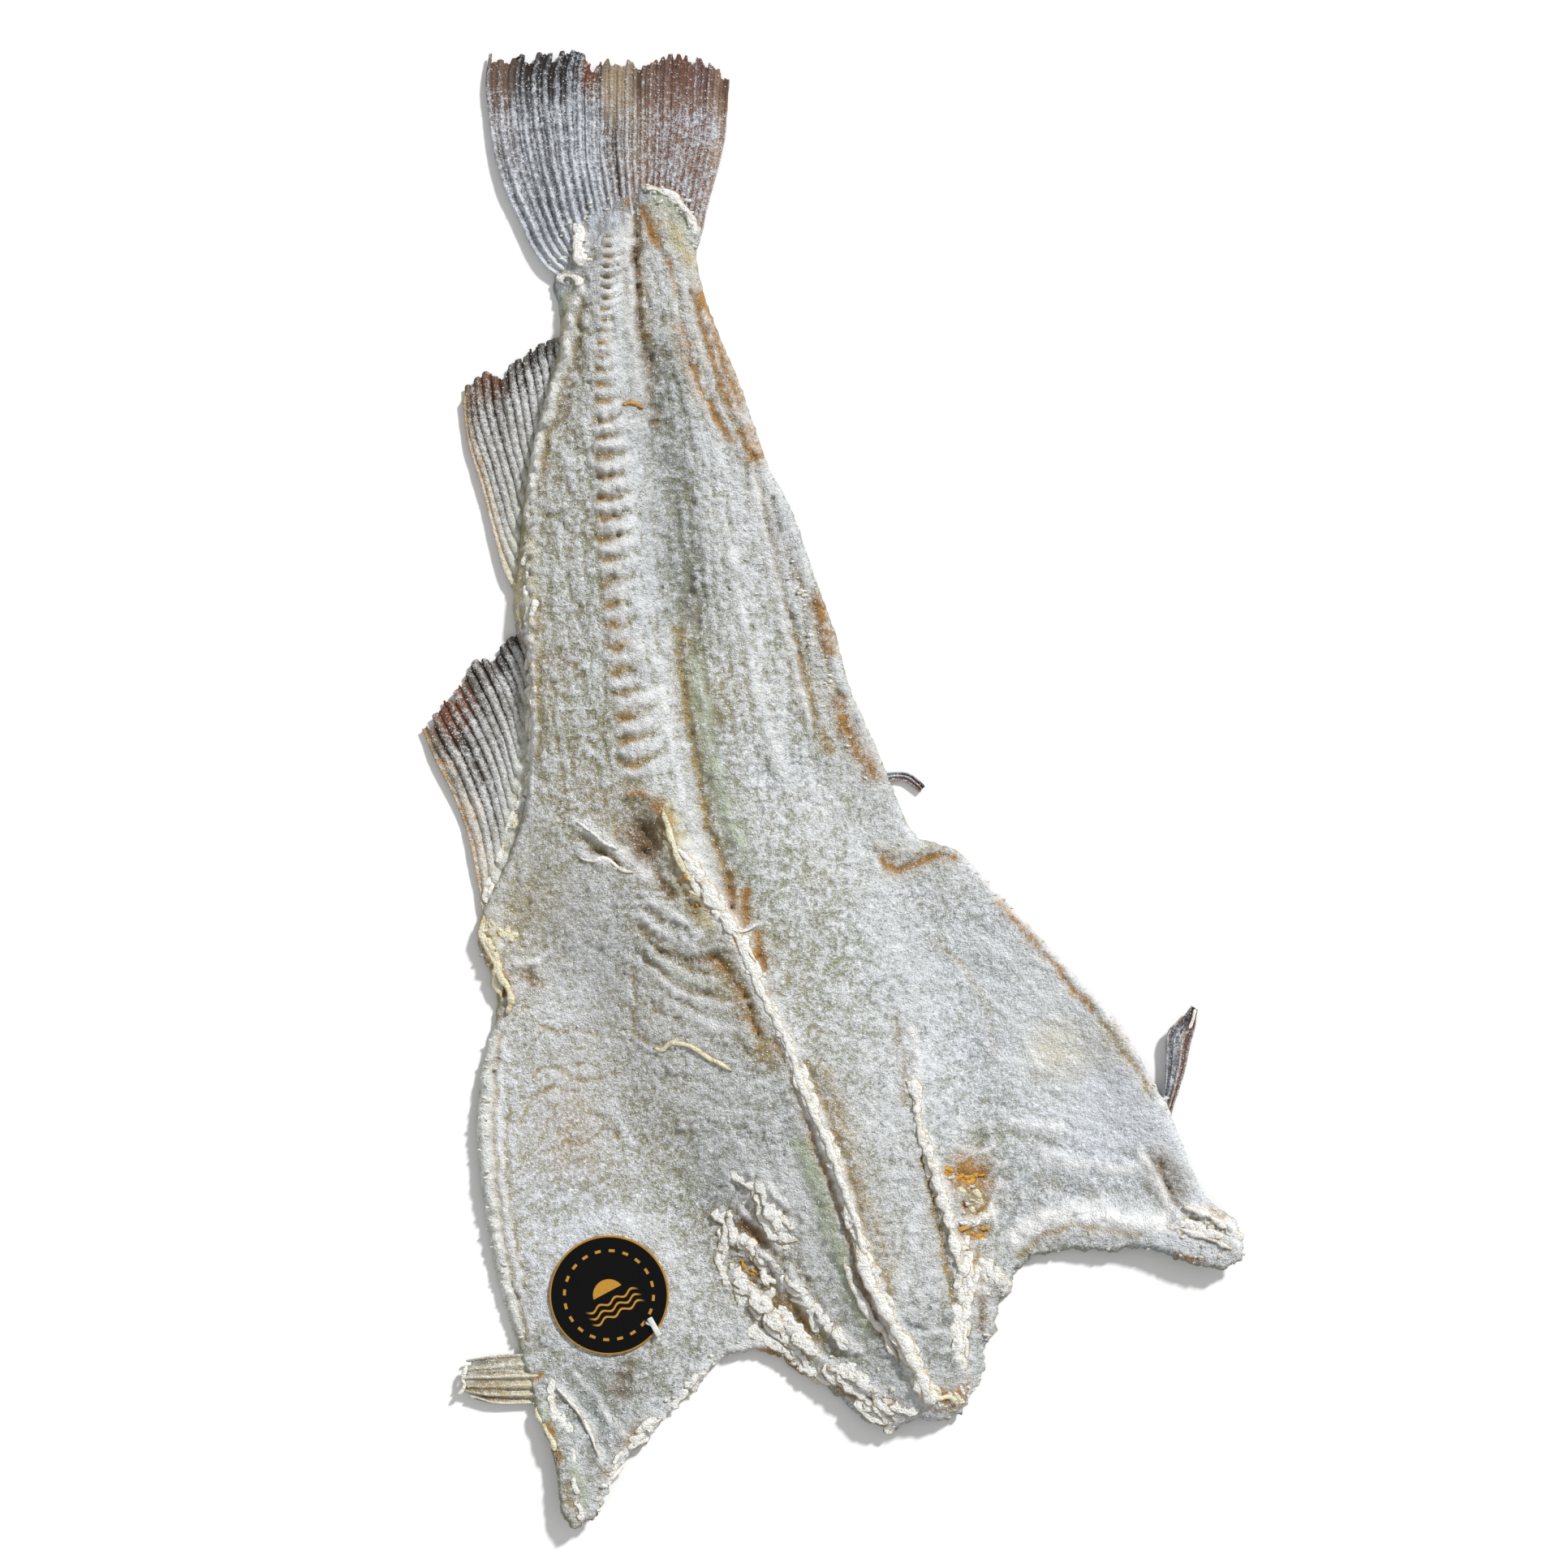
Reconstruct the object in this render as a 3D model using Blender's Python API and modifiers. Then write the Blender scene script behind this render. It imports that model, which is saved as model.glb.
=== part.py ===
# Salted dried cod, split open and laid skin side down.
# The tail points to +Y, the cut neck to -Y and the flesh faces +Z.
# The fish is one solid: split body, tail fin, two anal fins, both pectoral fins and
# one loose dorsal ray. A round card label lies on it, held by a small plastic fastener.
import math

import bmesh
import bpy
import numpy as np
from mathutils import Vector

MM = 0.001                    # every size below is in millimetres
PIECE_GAP = 0.3               # clearance between pieces that touch

# Body outline, seen from above
LEFT_EDGE = [(-122, 266), (-131, 241), (-128, 226), (-128, 212), (-136, 180), (-144, 150),
             (-147, 110), (-150, 84), (-146, 62), (-144, 30), (-145, 0), (-152, -25),
             (-162, -50), (-166, -66), (-166, -78), (-158, -91), (-158, -108), (-166, -140),
             (-166, -175), (-162, -205), (-156, -237), (-146, -268), (-140, -292),
             (-130, -317), (-127, -341), (-121, -350)]
RIGHT_EDGE = [(-63, 270), (-64, 254), (-60, 233), (-51, 210), (-42, 188), (-30, 153),
              (-18, 130), (-8, 100), (2, 73), (8, 50), (18, 27), (27, 6), (36, -17),
              (43, -25), (59, -29), (71, -41), (94, -65), (115, -88), (135, -110),
              (149, -133), (161, -156), (169, -177), (178, -195), (188, -201),
              (193, -208), (194, -222)]
TAIL_END = [(-122, 266), (-112, 274), (-98, 280), (-88, 286), (-77, 284), (-68, 276), (-63, 270)]
NECK_CUT = [(-121, -350), (-110, -343), (-103, -328), (-94, -313), (-83, -306), (-78, -295),
            (-66, -286), (-50, -268), (-33, -266), (-21, -270), (-15, -277), (0, -284),
            (15, -298), (31, -303), (42, -297), (57, -299), (66, -288), (74, -271),
            (72, -262), (79, -255), (78, -241), (86, -238), (89, -225), (112, -218),
            (130, -219), (147, -216), (166, -223), (184, -227), (194, -222)]
TAIL_END_REACH = 0.10         # share of the body's length that follows the tail end
NECK_REACH = 0.30             # share of the body's length that follows the neck cut
BODY_ROWS = 62
BODY_COLUMNS = 38
FLAT_INSET = 3                # grid cells between the rim and the flat underside

# Body heights along the fish: (y, thickest flesh, half width of the thick flesh)
MUSCLE = [(286, 7, 34), (262, 12, 42), (150, 18, 58), (50, 23, 74), (-50, 26, 84),
          (-150, 25, 80), (-230, 21, 62), (-300, 14, 48), (-350, 9, 40)]
FLAP_THICKNESS = 5.5
RIM_THICKNESS = 3.6
RIM_WIDTH = 9.0
MIDLINE = [(-103, 280), (-105, 200), (-102, 150), (-97, 80), (-90, 30), (-80, -18),
           (-57, -48), (-36, -88), (-15, -138), (3, -180), (18, -228), (32, -256), (47, -295)]
BACKBONE = [(-103, 264), (-105, 200), (-102, 150), (-97, 80), (-90, 30), (-86, -5)]
BACKBONE_HEIGHT = 2.4
BACKBONE_WIDTH = 9.0
VALLEY = [(-92, 276), (-89, 215), (-79, 160), (-71, 90), (-66, 30), (-56, -20), (-47, -56)]
VALLEY_DEPTH = 4.5
VALLEY_WIDTH = 10.0
SPINE = [(-72, -28), (-57, -48), (-36, -88), (-15, -138), (3, -180), (18, -228), (32, -256),
         (46, -285)]
SPINE_HEIGHT = 3.4
SPINE_WIDTH = 8.0
CUT_HOLLOW = (-86, -24)       # where the backbone was cut out
CUT_HOLLOW_DEPTH = 5.0
CUT_HOLLOW_WIDTH = 11.0
FLAP_ROLL = [(86, -222), (104, -209), (125, -207), (150, -208), (172, -212)]
FLAP_ROLL_HEIGHT = 3.0
FLAP_ROLL_WIDTH = 9.0

# How far the stiff rim curls up off the table: (x, y, lift, reach)
CURLS = [(185, -215, 9.0, 70), (150, -120, 6.0, 55), (-124, -345, 9.0, 55),
         (-165, -170, 4.5, 60), (-165, -60, 3.0, 40), (45, -300, 3.5, 50),
         (-40, -266, 3.0, 40), (-20, 130, 2.5, 70), (-150, 80, 1.5, 50)]

# Fins: corner to corner curves, root to tip
TAIL_FIN = {
    "left": [(-124, 236), (-134, 243), (-141, 256), (-148, 271), (-157, 293), (-163, 330), (-161, 349)],
    "right": [(-70, 246), (-63, 257), (-57, 279), (-51, 302), (-49, 322), (-48, 339)],
    "root": [(-124, 236), (-108, 262), (-88, 268), (-70, 246)],
    "tip": [(-161, 349), (-140, 349), (-118, 349), (-112, 342), (-104, 347), (-90, 344),
            (-76, 348), (-64, 347), (-55, 343), (-48, 339)],
    "rays": 20, "rows": 5, "thickness": 2.4, "ridge": 0.7, "ragged": 1.6,
    "root_z": 1.6, "tip_z": 1.2, "wave": 2.2,
}
REAR_ANAL_FIN = {
    "left": [(-118, 213), (-133, 213), (-142, 209), (-150, 203), (-158, 199), (-168, 198), (-174, 187)],
    "right": [(-140, 92), (-147, 89), (-151, 96)],
    "root": [(-118, 213), (-128, 180), (-137, 145), (-140, 92)],
    "tip": [(-174, 187), (-172, 165), (-165, 142), (-159, 119), (-151, 96)],
    "rays": 10, "rows": 4, "thickness": 2.2, "ridge": 0.6, "ragged": 0.8,
    "root_z": 1.4, "tip_z": 0.8, "wave": 1.2,
}
FRONT_ANAL_FIN = {
    "left": [(-138, 74), (-148, 73), (-158, 67), (-169, 62), (-181, 46), (-194, 29)],
    "right": [(-144, -48), (-156, -56), (-163, -60)],
    "root": [(-138, 74), (-137, 30), (-139, -10), (-144, -48)],
    "tip": [(-194, 29), (-188, 15), (-179, -3), (-171, -25), (-167, -45), (-163, -60)],
    "rays": 12, "rows": 4, "thickness": 2.2, "ridge": 0.6, "ragged": 1.0,
    "root_z": 1.4, "tip_z": 0.8, "wave": 1.6,
}
LEFT_PECTORAL_FIN = {
    "left": [(-132, -271), (-146, -269), (-157, -268), (-166, -270), (-175, -272)],
    "right": [(-130, -291), (-145, -292), (-158, -291), (-165, -291), (-171, -286)],
    "root": [(-132, -271), (-131, -281), (-130, -291)],
    "tip": [(-175, -272), (-175, -277), (-176, -282), (-171, -286)],
    "rays": 4, "rows": 5, "thickness": 3.4, "ridge": 1.2, "ragged": 0.8,
    "root_z": 2.4, "tip_z": 4.2, "wave": 0.6,
}
RIGHT_PECTORAL_FIN = {
    "left": [(150, -164), (157, -147), (159, -130), (160, -116), (168, -109), (171, -103)],
    "right": [(157, -170), (162, -150), (167, -136), (170, -122), (172, -113), (172, -104)],
    "root": [(150, -164), (157, -170)],
    "tip": [(171, -103), (172, -104)],
    "rays": 2, "rows": 6, "thickness": 2.2, "ridge": 0.5, "ragged": 0.0,
    "root_z": 2.6, "tip_z": 6.0, "wave": 0.4,
}
LOOSE_RAY = {
    "left": [(20, 5), (29, 7.4), (37, 6.8), (43, 2.2), (44.2, 0.2)],
    "right": [(19, 1), (29, 3.6), (35, 3.6), (40, 0.4), (42.6, -1.6)],
    "root": [(20, 5), (19, 1)],
    "tip": [(44.2, 0.2), (42.6, -1.6)],
    "rays": 1, "rows": 6, "thickness": 2.0, "ridge": 0.3, "ragged": 0.0,
    "root_z": 1.2, "tip_z": 1.8, "wave": 0.0,
}

# Label and fastener
LABEL_CENTRE = (-104.5, -239.0)
LABEL_RADIUS = 28.2
LABEL_THICKNESS = 0.9
LABEL_SIDES = 56
LABEL_EDGE_BEVEL = 0.2
LABEL_SEAT_Z = 9.0            # flesh pressed flat under the label
LABEL_SEAT_BLEND = 14.0
LABEL_HOLE_CENTRE = (-86.8, -252.0)
LABEL_HOLE_RADIUS = 1.3
FASTENER_CENTRE = (-83.1, -253.8)
FASTENER_TURN = -61.0         # degrees from +X
FASTENER_SIZE = (9.8, 2.7, 1.6)
FASTENER_BEVEL = 0.6
FASTENER_STEM_RADIUS = 0.6

# Colours, roughness and metallic value of each finish
FLESH = ((0.66, 0.66, 0.60, 1.0), 0.80, 0.0)
CARD = ((0.012, 0.011, 0.010, 1.0), 0.38, 0.0)
PLASTIC = ((0.62, 0.62, 0.60, 1.0), 0.35, 0.0)


def clear_scene():
    for thing in list(bpy.data.objects):
        bpy.data.objects.remove(thing, do_unlink=True)


def new_collection(name):
    group = bpy.data.collections.new(name)
    bpy.context.scene.collection.children.link(group)
    return group


def finish(name, values):
    colour, roughness, metallic = values
    material = bpy.data.materials.new(name)
    material.use_nodes = True
    shader = material.node_tree.nodes["Principled BSDF"]
    shader.inputs["Base Color"].default_value = colour
    shader.inputs["Roughness"].default_value = roughness
    shader.inputs["Metallic"].default_value = metallic
    return material


def add_object(name, mesh, group, material=None):
    thing = bpy.data.objects.new(name, mesh)
    group.objects.link(thing)
    if material is not None:
        mesh.materials.append(material)
    return thing


def make_cutter(thing, group):
    for old in list(thing.users_collection):
        old.objects.unlink(thing)
    group.objects.link(thing)
    thing.hide_render = True
    thing.display_type = "WIRE"


def add_boolean(thing, other, operation):
    modifier = thing.modifiers.new(operation.title(), "BOOLEAN")
    modifier.operation = operation
    modifier.solver = "EXACT"
    modifier.object = other


# Curves and distances, all in millimetres

def smooth_path(points, count):
    """Even points by length along a Catmull-Rom curve through the given points."""
    knots = np.array(points, dtype=float)
    ends = np.vstack([2 * knots[0] - knots[1], knots, 2 * knots[-1] - knots[-2]])
    fine = []
    steps = 12
    for index in range(len(knots) - 1):
        before, start, stop, after = ends[index:index + 4]
        for step in range(steps):
            t = step / steps
            fine.append(0.5 * (2 * start + (stop - before) * t
                               + (2 * before - 5 * start + 4 * stop - after) * t ** 2
                               + (3 * start - before - 3 * stop + after) * t ** 3))
    fine.append(knots[-1])
    fine = np.array(fine)
    lengths = np.concatenate([[0.0], np.cumsum(np.linalg.norm(np.diff(fine, axis=0), axis=1))])
    wanted = np.linspace(0.0, lengths[-1], count)
    return np.column_stack([np.interp(wanted, lengths, fine[:, axis]) for axis in (0, 1)])


def distance_to(points, path):
    """Distance of each point from a polyline."""
    starts = path[:-1]
    runs = path[1:] - starts
    to_start = points[..., None, :] - starts
    along = np.clip((to_start * runs).sum(-1) / (runs ** 2).sum(-1), 0.0, 1.0)
    return np.linalg.norm(to_start - along[..., None] * runs, axis=-1).min(-1)


def bell(distance, width):
    return np.exp(-(distance / width) ** 2)


def ease(value):
    value = np.clip(value, 0.0, 1.0)
    return value * value * (3.0 - 2.0 * value)


def patch(left, right, start, end, rows, columns, start_reach=1.0, end_reach=1.0):
    """Grid of points between four edge curves; rows run from start to end."""
    left = smooth_path(left, rows + 1)
    right = smooth_path(right, rows + 1)
    start = smooth_path(start, columns + 1)
    end = smooth_path(end, columns + 1)
    across = np.linspace(0.0, 1.0, columns + 1)[None, :, None]
    along = np.linspace(0.0, 1.0, rows + 1)[:, None, None]
    start_bow = start - (start[0] + across[0] * (start[-1] - start[0]))
    end_bow = end - (end[0] + across[0] * (end[-1] - end[0]))
    start_weight = ease(1.0 - along / start_reach)
    end_weight = ease((along - 1.0 + end_reach) / end_reach)
    straight = left[:, None, :] + across * (right - left)[:, None, :]
    return straight + start_weight * start_bow + end_weight * end_bow


# Body

def body_lift(points):
    total = np.zeros(points.shape[:-1])
    for x, y, lift, reach in CURLS:
        total = np.maximum(total, lift * bell(np.linalg.norm(points - (x, y), axis=-1), reach))
    return total


def body_thickness(points, rim):
    stations = np.array(MUSCLE, dtype=float)[::-1]
    height = np.interp(points[..., 1], stations[:, 0], stations[:, 1])
    reach = np.interp(points[..., 1], stations[:, 0], stations[:, 2])
    from_midline = distance_to(points, smooth_path(MIDLINE, 60))
    muscle = np.cos(np.clip(from_midline / reach, 0.0, 1.0) * math.pi / 2) ** 1.2
    flesh = FLAP_THICKNESS + (height - FLAP_THICKNESS) * muscle
    flesh += BACKBONE_HEIGHT * bell(distance_to(points, smooth_path(BACKBONE, 40)), BACKBONE_WIDTH)
    flesh -= VALLEY_DEPTH * bell(distance_to(points, smooth_path(VALLEY, 40)), VALLEY_WIDTH)
    flesh += SPINE_HEIGHT * bell(distance_to(points, smooth_path(SPINE, 40)), SPINE_WIDTH)
    flesh += FLAP_ROLL_HEIGHT * bell(distance_to(points, smooth_path(FLAP_ROLL, 20)), FLAP_ROLL_WIDTH)
    hollow = np.linalg.norm(points - CUT_HOLLOW, axis=-1)
    flesh -= CUT_HOLLOW_DEPTH * bell(hollow, CUT_HOLLOW_WIDTH)
    from_rim = distance_to(points, rim)
    return RIM_THICKNESS + (flesh - RIM_THICKNESS) * np.sqrt(np.clip(from_rim / RIM_WIDTH, 0.0, 1.0))


def press_label_seat(points, heights):
    from_label = np.linalg.norm(points - LABEL_CENTRE, axis=-1)
    clear = LABEL_RADIUS + 3.0
    free = ease((from_label - clear) / LABEL_SEAT_BLEND)
    return LABEL_SEAT_Z + (heights - LABEL_SEAT_Z) * free


def solid_from_grid(name, grid, top, bottom, inset=None):
    """Closed solid between two height grids; with an inset the underside's middle is one flat face."""
    rows, columns = top.shape
    mesh_data = bmesh.new()

    def vertices(heights, wanted):
        made = {}
        for row in range(rows):
            for column in range(columns):
                if wanted(row, column):
                    x, y = grid[row, column]
                    made[row, column] = mesh_data.verts.new((x * MM, y * MM, heights[row, column] * MM))
        return made

    def ring(row, column):
        return min(row, rows - 1 - row, column, columns - 1 - column)

    def loop_at(level):
        low, last_row, last_column = level, rows - 1 - level, columns - 1 - level
        loop = [(low, column) for column in range(low, last_column)]
        loop += [(row, last_column) for row in range(low, last_row)]
        loop += [(last_row, column) for column in range(last_column, low, -1)]
        loop += [(row, low) for row in range(last_row, low, -1)]
        return loop

    upper = vertices(top, lambda row, column: True)
    lower = vertices(bottom, lambda row, column: inset is None or ring(row, column) <= inset)
    for row in range(rows - 1):
        for column in range(columns - 1):
            corners = [(row, column), (row, column + 1), (row + 1, column + 1), (row + 1, column)]
            mesh_data.faces.new([upper[corner] for corner in corners])
            if all(corner in lower for corner in corners) and (
                    inset is None or min(ring(*corner) for corner in corners) < inset):
                mesh_data.faces.new([lower[corner] for corner in reversed(corners)])
    if inset is not None:
        mesh_data.faces.new([lower[corner] for corner in reversed(loop_at(inset))])
    edge = loop_at(0)
    for here, there in zip(edge, edge[1:] + edge[:1]):
        mesh_data.faces.new([upper[here], lower[here], lower[there], upper[there]])
    bmesh.ops.recalc_face_normals(mesh_data, faces=mesh_data.faces)
    mesh = bpy.data.meshes.new(name)
    mesh_data.to_mesh(mesh)
    mesh_data.free()
    mesh.shade_smooth()
    mesh.set_sharp_from_angle(angle=math.radians(50))
    return mesh


def make_body(group, material):
    grid = patch(LEFT_EDGE, RIGHT_EDGE, TAIL_END, NECK_CUT, BODY_ROWS, BODY_COLUMNS,
                 TAIL_END_REACH, NECK_REACH)
    rim = np.vstack([grid[0, :-1], grid[:-1, -1], grid[-1, :0:-1], grid[::-1, 0]])
    row, column = np.indices(grid.shape[:2])
    from_edge = np.minimum(np.minimum(row, BODY_ROWS - row), np.minimum(column, BODY_COLUMNS - column))
    curl = ease(1.0 - from_edge / FLAT_INSET)
    bottom = body_lift(grid) * curl
    top = press_label_seat(grid, bottom + body_thickness(grid, rim))
    mesh = solid_from_grid("cod", grid, top, bottom, inset=FLAT_INSET)
    return add_object("cod", mesh, group, material)


# Fins

def make_fin(name, sizes, group):
    """A thin fan of ridged rays between its root and its ragged tip."""
    rays, rows = sizes["rays"], sizes["rows"]
    columns = 2 * rays
    grid = patch(sizes["left"], sizes["right"], sizes["root"], sizes["tip"], rows, columns)
    ray = np.arange(columns + 1)[None, :]
    along = np.linspace(0.0, 1.0, rows + 1)[:, None]
    valley = (ray % 2 == 0) & (ray > 0) & (ray < columns)
    bite = sizes["ragged"] * valley * (0.5 + 0.5 * np.sin(2.3 * ray))
    outwards = grid[-1] - grid[-2]
    outwards /= np.linalg.norm(outwards, axis=-1, keepdims=True)
    grid[-1] -= bite[0][:, None] * outwards
    sway = 0.5 + 0.5 * np.sin(0.5 * ray + 0.7)
    bottom = sizes["root_z"] + (sizes["tip_z"] - sizes["root_z"]) * along
    bottom = bottom + sizes["wave"] * sway * along ** 2
    top = bottom + sizes["thickness"] * (1.0 - 0.25 * along) + sizes["ridge"] * (ray % 2)
    fin = add_object(name, solid_from_grid(name, grid, top, bottom), group)
    make_cutter(fin, group)
    return fin


# Label and its fastener

def make_disc(name, centre, radius, low, high, sides, group, material=None):
    disc = bmesh.new()
    bmesh.ops.create_cone(disc, cap_ends=True, segments=sides, radius1=radius * MM,
                          radius2=radius * MM, depth=(high - low) * MM)
    mesh = bpy.data.meshes.new(name)
    disc.to_mesh(mesh)
    disc.free()
    thing = add_object(name, mesh, group, material)
    thing.location = (centre[0] * MM, centre[1] * MM, (low + high) / 2 * MM)
    return thing


def make_label(group, cutters, material):
    low = LABEL_SEAT_Z + PIECE_GAP
    high = low + LABEL_THICKNESS
    label = make_disc("label", LABEL_CENTRE, LABEL_RADIUS, low, high, LABEL_SIDES, group, material)
    edge = label.modifiers.new("Edge", "BEVEL")
    edge.width = LABEL_EDGE_BEVEL * MM
    edge.segments = 1
    edge.limit_method = "ANGLE"
    hole = make_disc("label hole", LABEL_HOLE_CENTRE, LABEL_HOLE_RADIUS, low - 1, high + 1, 20, cutters)
    make_cutter(hole, cutters)
    add_boolean(label, hole, "DIFFERENCE")
    return high


def make_stem(route, group):
    """Round stem along a short route, as a closed mesh."""
    data = bpy.data.curves.new("stem", "CURVE")
    data.dimensions = "3D"
    data.bevel_depth = FASTENER_STEM_RADIUS * MM
    data.bevel_resolution = 2
    data.use_fill_caps = True
    spline = data.splines.new("POLY")
    spline.points.add(len(route) - 1)
    for point, place in zip(spline.points, route):
        point.co = (place[0] * MM, place[1] * MM, place[2] * MM, 1.0)
    curve = add_object("stem curve", data, group)
    bpy.context.view_layer.update()
    mesh = bpy.data.meshes.new_from_object(curve.evaluated_get(bpy.context.evaluated_depsgraph_get()))
    bpy.data.objects.remove(curve, do_unlink=True)
    welded = bmesh.new()
    welded.from_mesh(mesh)
    bmesh.ops.remove_doubles(welded, verts=welded.verts, dist=0.01 * MM)
    bmesh.ops.recalc_face_normals(welded, faces=welded.faces)
    welded.to_mesh(mesh)
    welded.free()
    stem = add_object("stem", mesh, group)
    make_cutter(stem, group)
    return stem


def make_fastener(label_top, group, cutters, material):
    bar_shape = bmesh.new()
    bmesh.ops.create_cube(bar_shape, size=1.0)
    bmesh.ops.scale(bar_shape, vec=[side * MM for side in FASTENER_SIZE], verts=bar_shape.verts)
    mesh = bpy.data.meshes.new("label_fastener")
    bar_shape.to_mesh(mesh)
    bar_shape.free()
    bar = add_object("label_fastener", mesh, group, material)
    bar_z = label_top + PIECE_GAP + FASTENER_SIZE[2] / 2
    bar.location = Vector((*FASTENER_CENTRE, bar_z)) * MM
    bar.rotation_euler.z = math.radians(FASTENER_TURN)
    rounding = bar.modifiers.new("Rounding", "BEVEL")
    rounding.width = FASTENER_BEVEL * MM
    rounding.segments = 2
    hole_x, hole_y = LABEL_HOLE_CENTRE
    bend_z = bar_z - 0.1
    route = [(hole_x, hole_y, LABEL_SEAT_Z + PIECE_GAP), (hole_x, hole_y, bend_z - 0.8),
             (hole_x + 0.4, hole_y - 0.2, bend_z - 0.1), (hole_x + 3.2, hole_y - 1.5, bend_z)]
    add_boolean(bar, make_stem(route, cutters), "UNION")


clear_scene()
parts = new_collection("salted dried cod")
cutters = new_collection("cutters")

cod = make_body(parts, finish("salted flesh", FLESH))
fins = {"tail fin": TAIL_FIN, "rear anal fin": REAR_ANAL_FIN, "front anal fin": FRONT_ANAL_FIN,
        "left pectoral fin": LEFT_PECTORAL_FIN, "right pectoral fin": RIGHT_PECTORAL_FIN,
        "loose dorsal ray": LOOSE_RAY}
for fin_name, fin_sizes in fins.items():
    add_boolean(cod, make_fin(fin_name, fin_sizes, cutters), "UNION")

label_top = make_label(parts, cutters, finish("black card", CARD))
make_fastener(label_top, parts, cutters, finish("clear plastic", PLASTIC))
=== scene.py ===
import math
import bpy
import numpy as np
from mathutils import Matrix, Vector
from mathutils.bvhtree import BVHTree
from mathutils.kdtree import KDTree


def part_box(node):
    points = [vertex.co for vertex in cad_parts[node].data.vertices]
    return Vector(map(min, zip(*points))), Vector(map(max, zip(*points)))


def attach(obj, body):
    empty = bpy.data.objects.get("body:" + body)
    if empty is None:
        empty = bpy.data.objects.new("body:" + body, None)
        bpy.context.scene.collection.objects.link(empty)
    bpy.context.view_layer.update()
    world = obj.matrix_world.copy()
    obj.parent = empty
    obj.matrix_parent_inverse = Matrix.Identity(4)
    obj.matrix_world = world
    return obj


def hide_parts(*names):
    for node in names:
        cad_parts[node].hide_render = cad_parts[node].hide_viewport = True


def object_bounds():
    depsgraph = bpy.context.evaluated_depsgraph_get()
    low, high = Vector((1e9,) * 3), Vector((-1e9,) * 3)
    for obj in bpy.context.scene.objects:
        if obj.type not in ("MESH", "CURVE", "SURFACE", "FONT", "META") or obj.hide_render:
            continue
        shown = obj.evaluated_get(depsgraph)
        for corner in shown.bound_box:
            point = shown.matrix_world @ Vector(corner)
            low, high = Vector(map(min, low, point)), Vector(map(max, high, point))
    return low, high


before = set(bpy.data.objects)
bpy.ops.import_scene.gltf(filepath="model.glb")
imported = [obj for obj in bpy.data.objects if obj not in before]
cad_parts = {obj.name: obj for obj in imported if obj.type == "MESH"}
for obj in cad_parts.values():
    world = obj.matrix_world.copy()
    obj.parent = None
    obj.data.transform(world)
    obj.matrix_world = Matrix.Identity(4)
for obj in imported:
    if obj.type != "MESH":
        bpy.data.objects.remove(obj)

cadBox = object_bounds()
mm = 0.001
print("frame loaded")


# Shader maths as plain expressions

class Wire:
    def __init__(self, tree, socket):
        self.tree = tree
        self.socket = socket

    def math(self, operation, *others):
        made = self.tree.nodes.new("ShaderNodeMath")
        made.operation = operation
        for slot, value in zip(made.inputs, (self, *others)):
            feed(self.tree, slot, value)
        return Wire(self.tree, made.outputs[0])

    def __add__(self, other):
        return self.math("ADD", other)

    def __sub__(self, other):
        return self.math("SUBTRACT", other)

    def __mul__(self, other):
        return self.math("MULTIPLY", other)

    def __rsub__(self, other):
        return (self * -1.0) + other

    __radd__ = __add__
    __rmul__ = __mul__

    def held(self):
        return self.math("MAXIMUM", 0.0).math("MINIMUM", 1.0)

    def between(self, low, high):
        made = self.tree.nodes.new("ShaderNodeMapRange")
        made.interpolation_type = "SMOOTHSTEP"
        for slot, value in zip(("Value", "From Min", "From Max"), (self, low, high)):
            feed(self.tree, made.inputs[slot], value)
        return Wire(self.tree, made.outputs[0])


def feed(tree, slot, value):
    if isinstance(value, Wire):
        tree.links.new(value.socket, slot)
    elif isinstance(value, tuple) and slot.type == "RGBA":
        slot.default_value = (*value, 1.0)
    else:
        slot.default_value = value


def seen(*parts):
    # a colour given as it looks on a screen, 0 to 255
    return tuple(((part / 255 + 0.055) / 1.055) ** 2.4 for part in parts)


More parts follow.
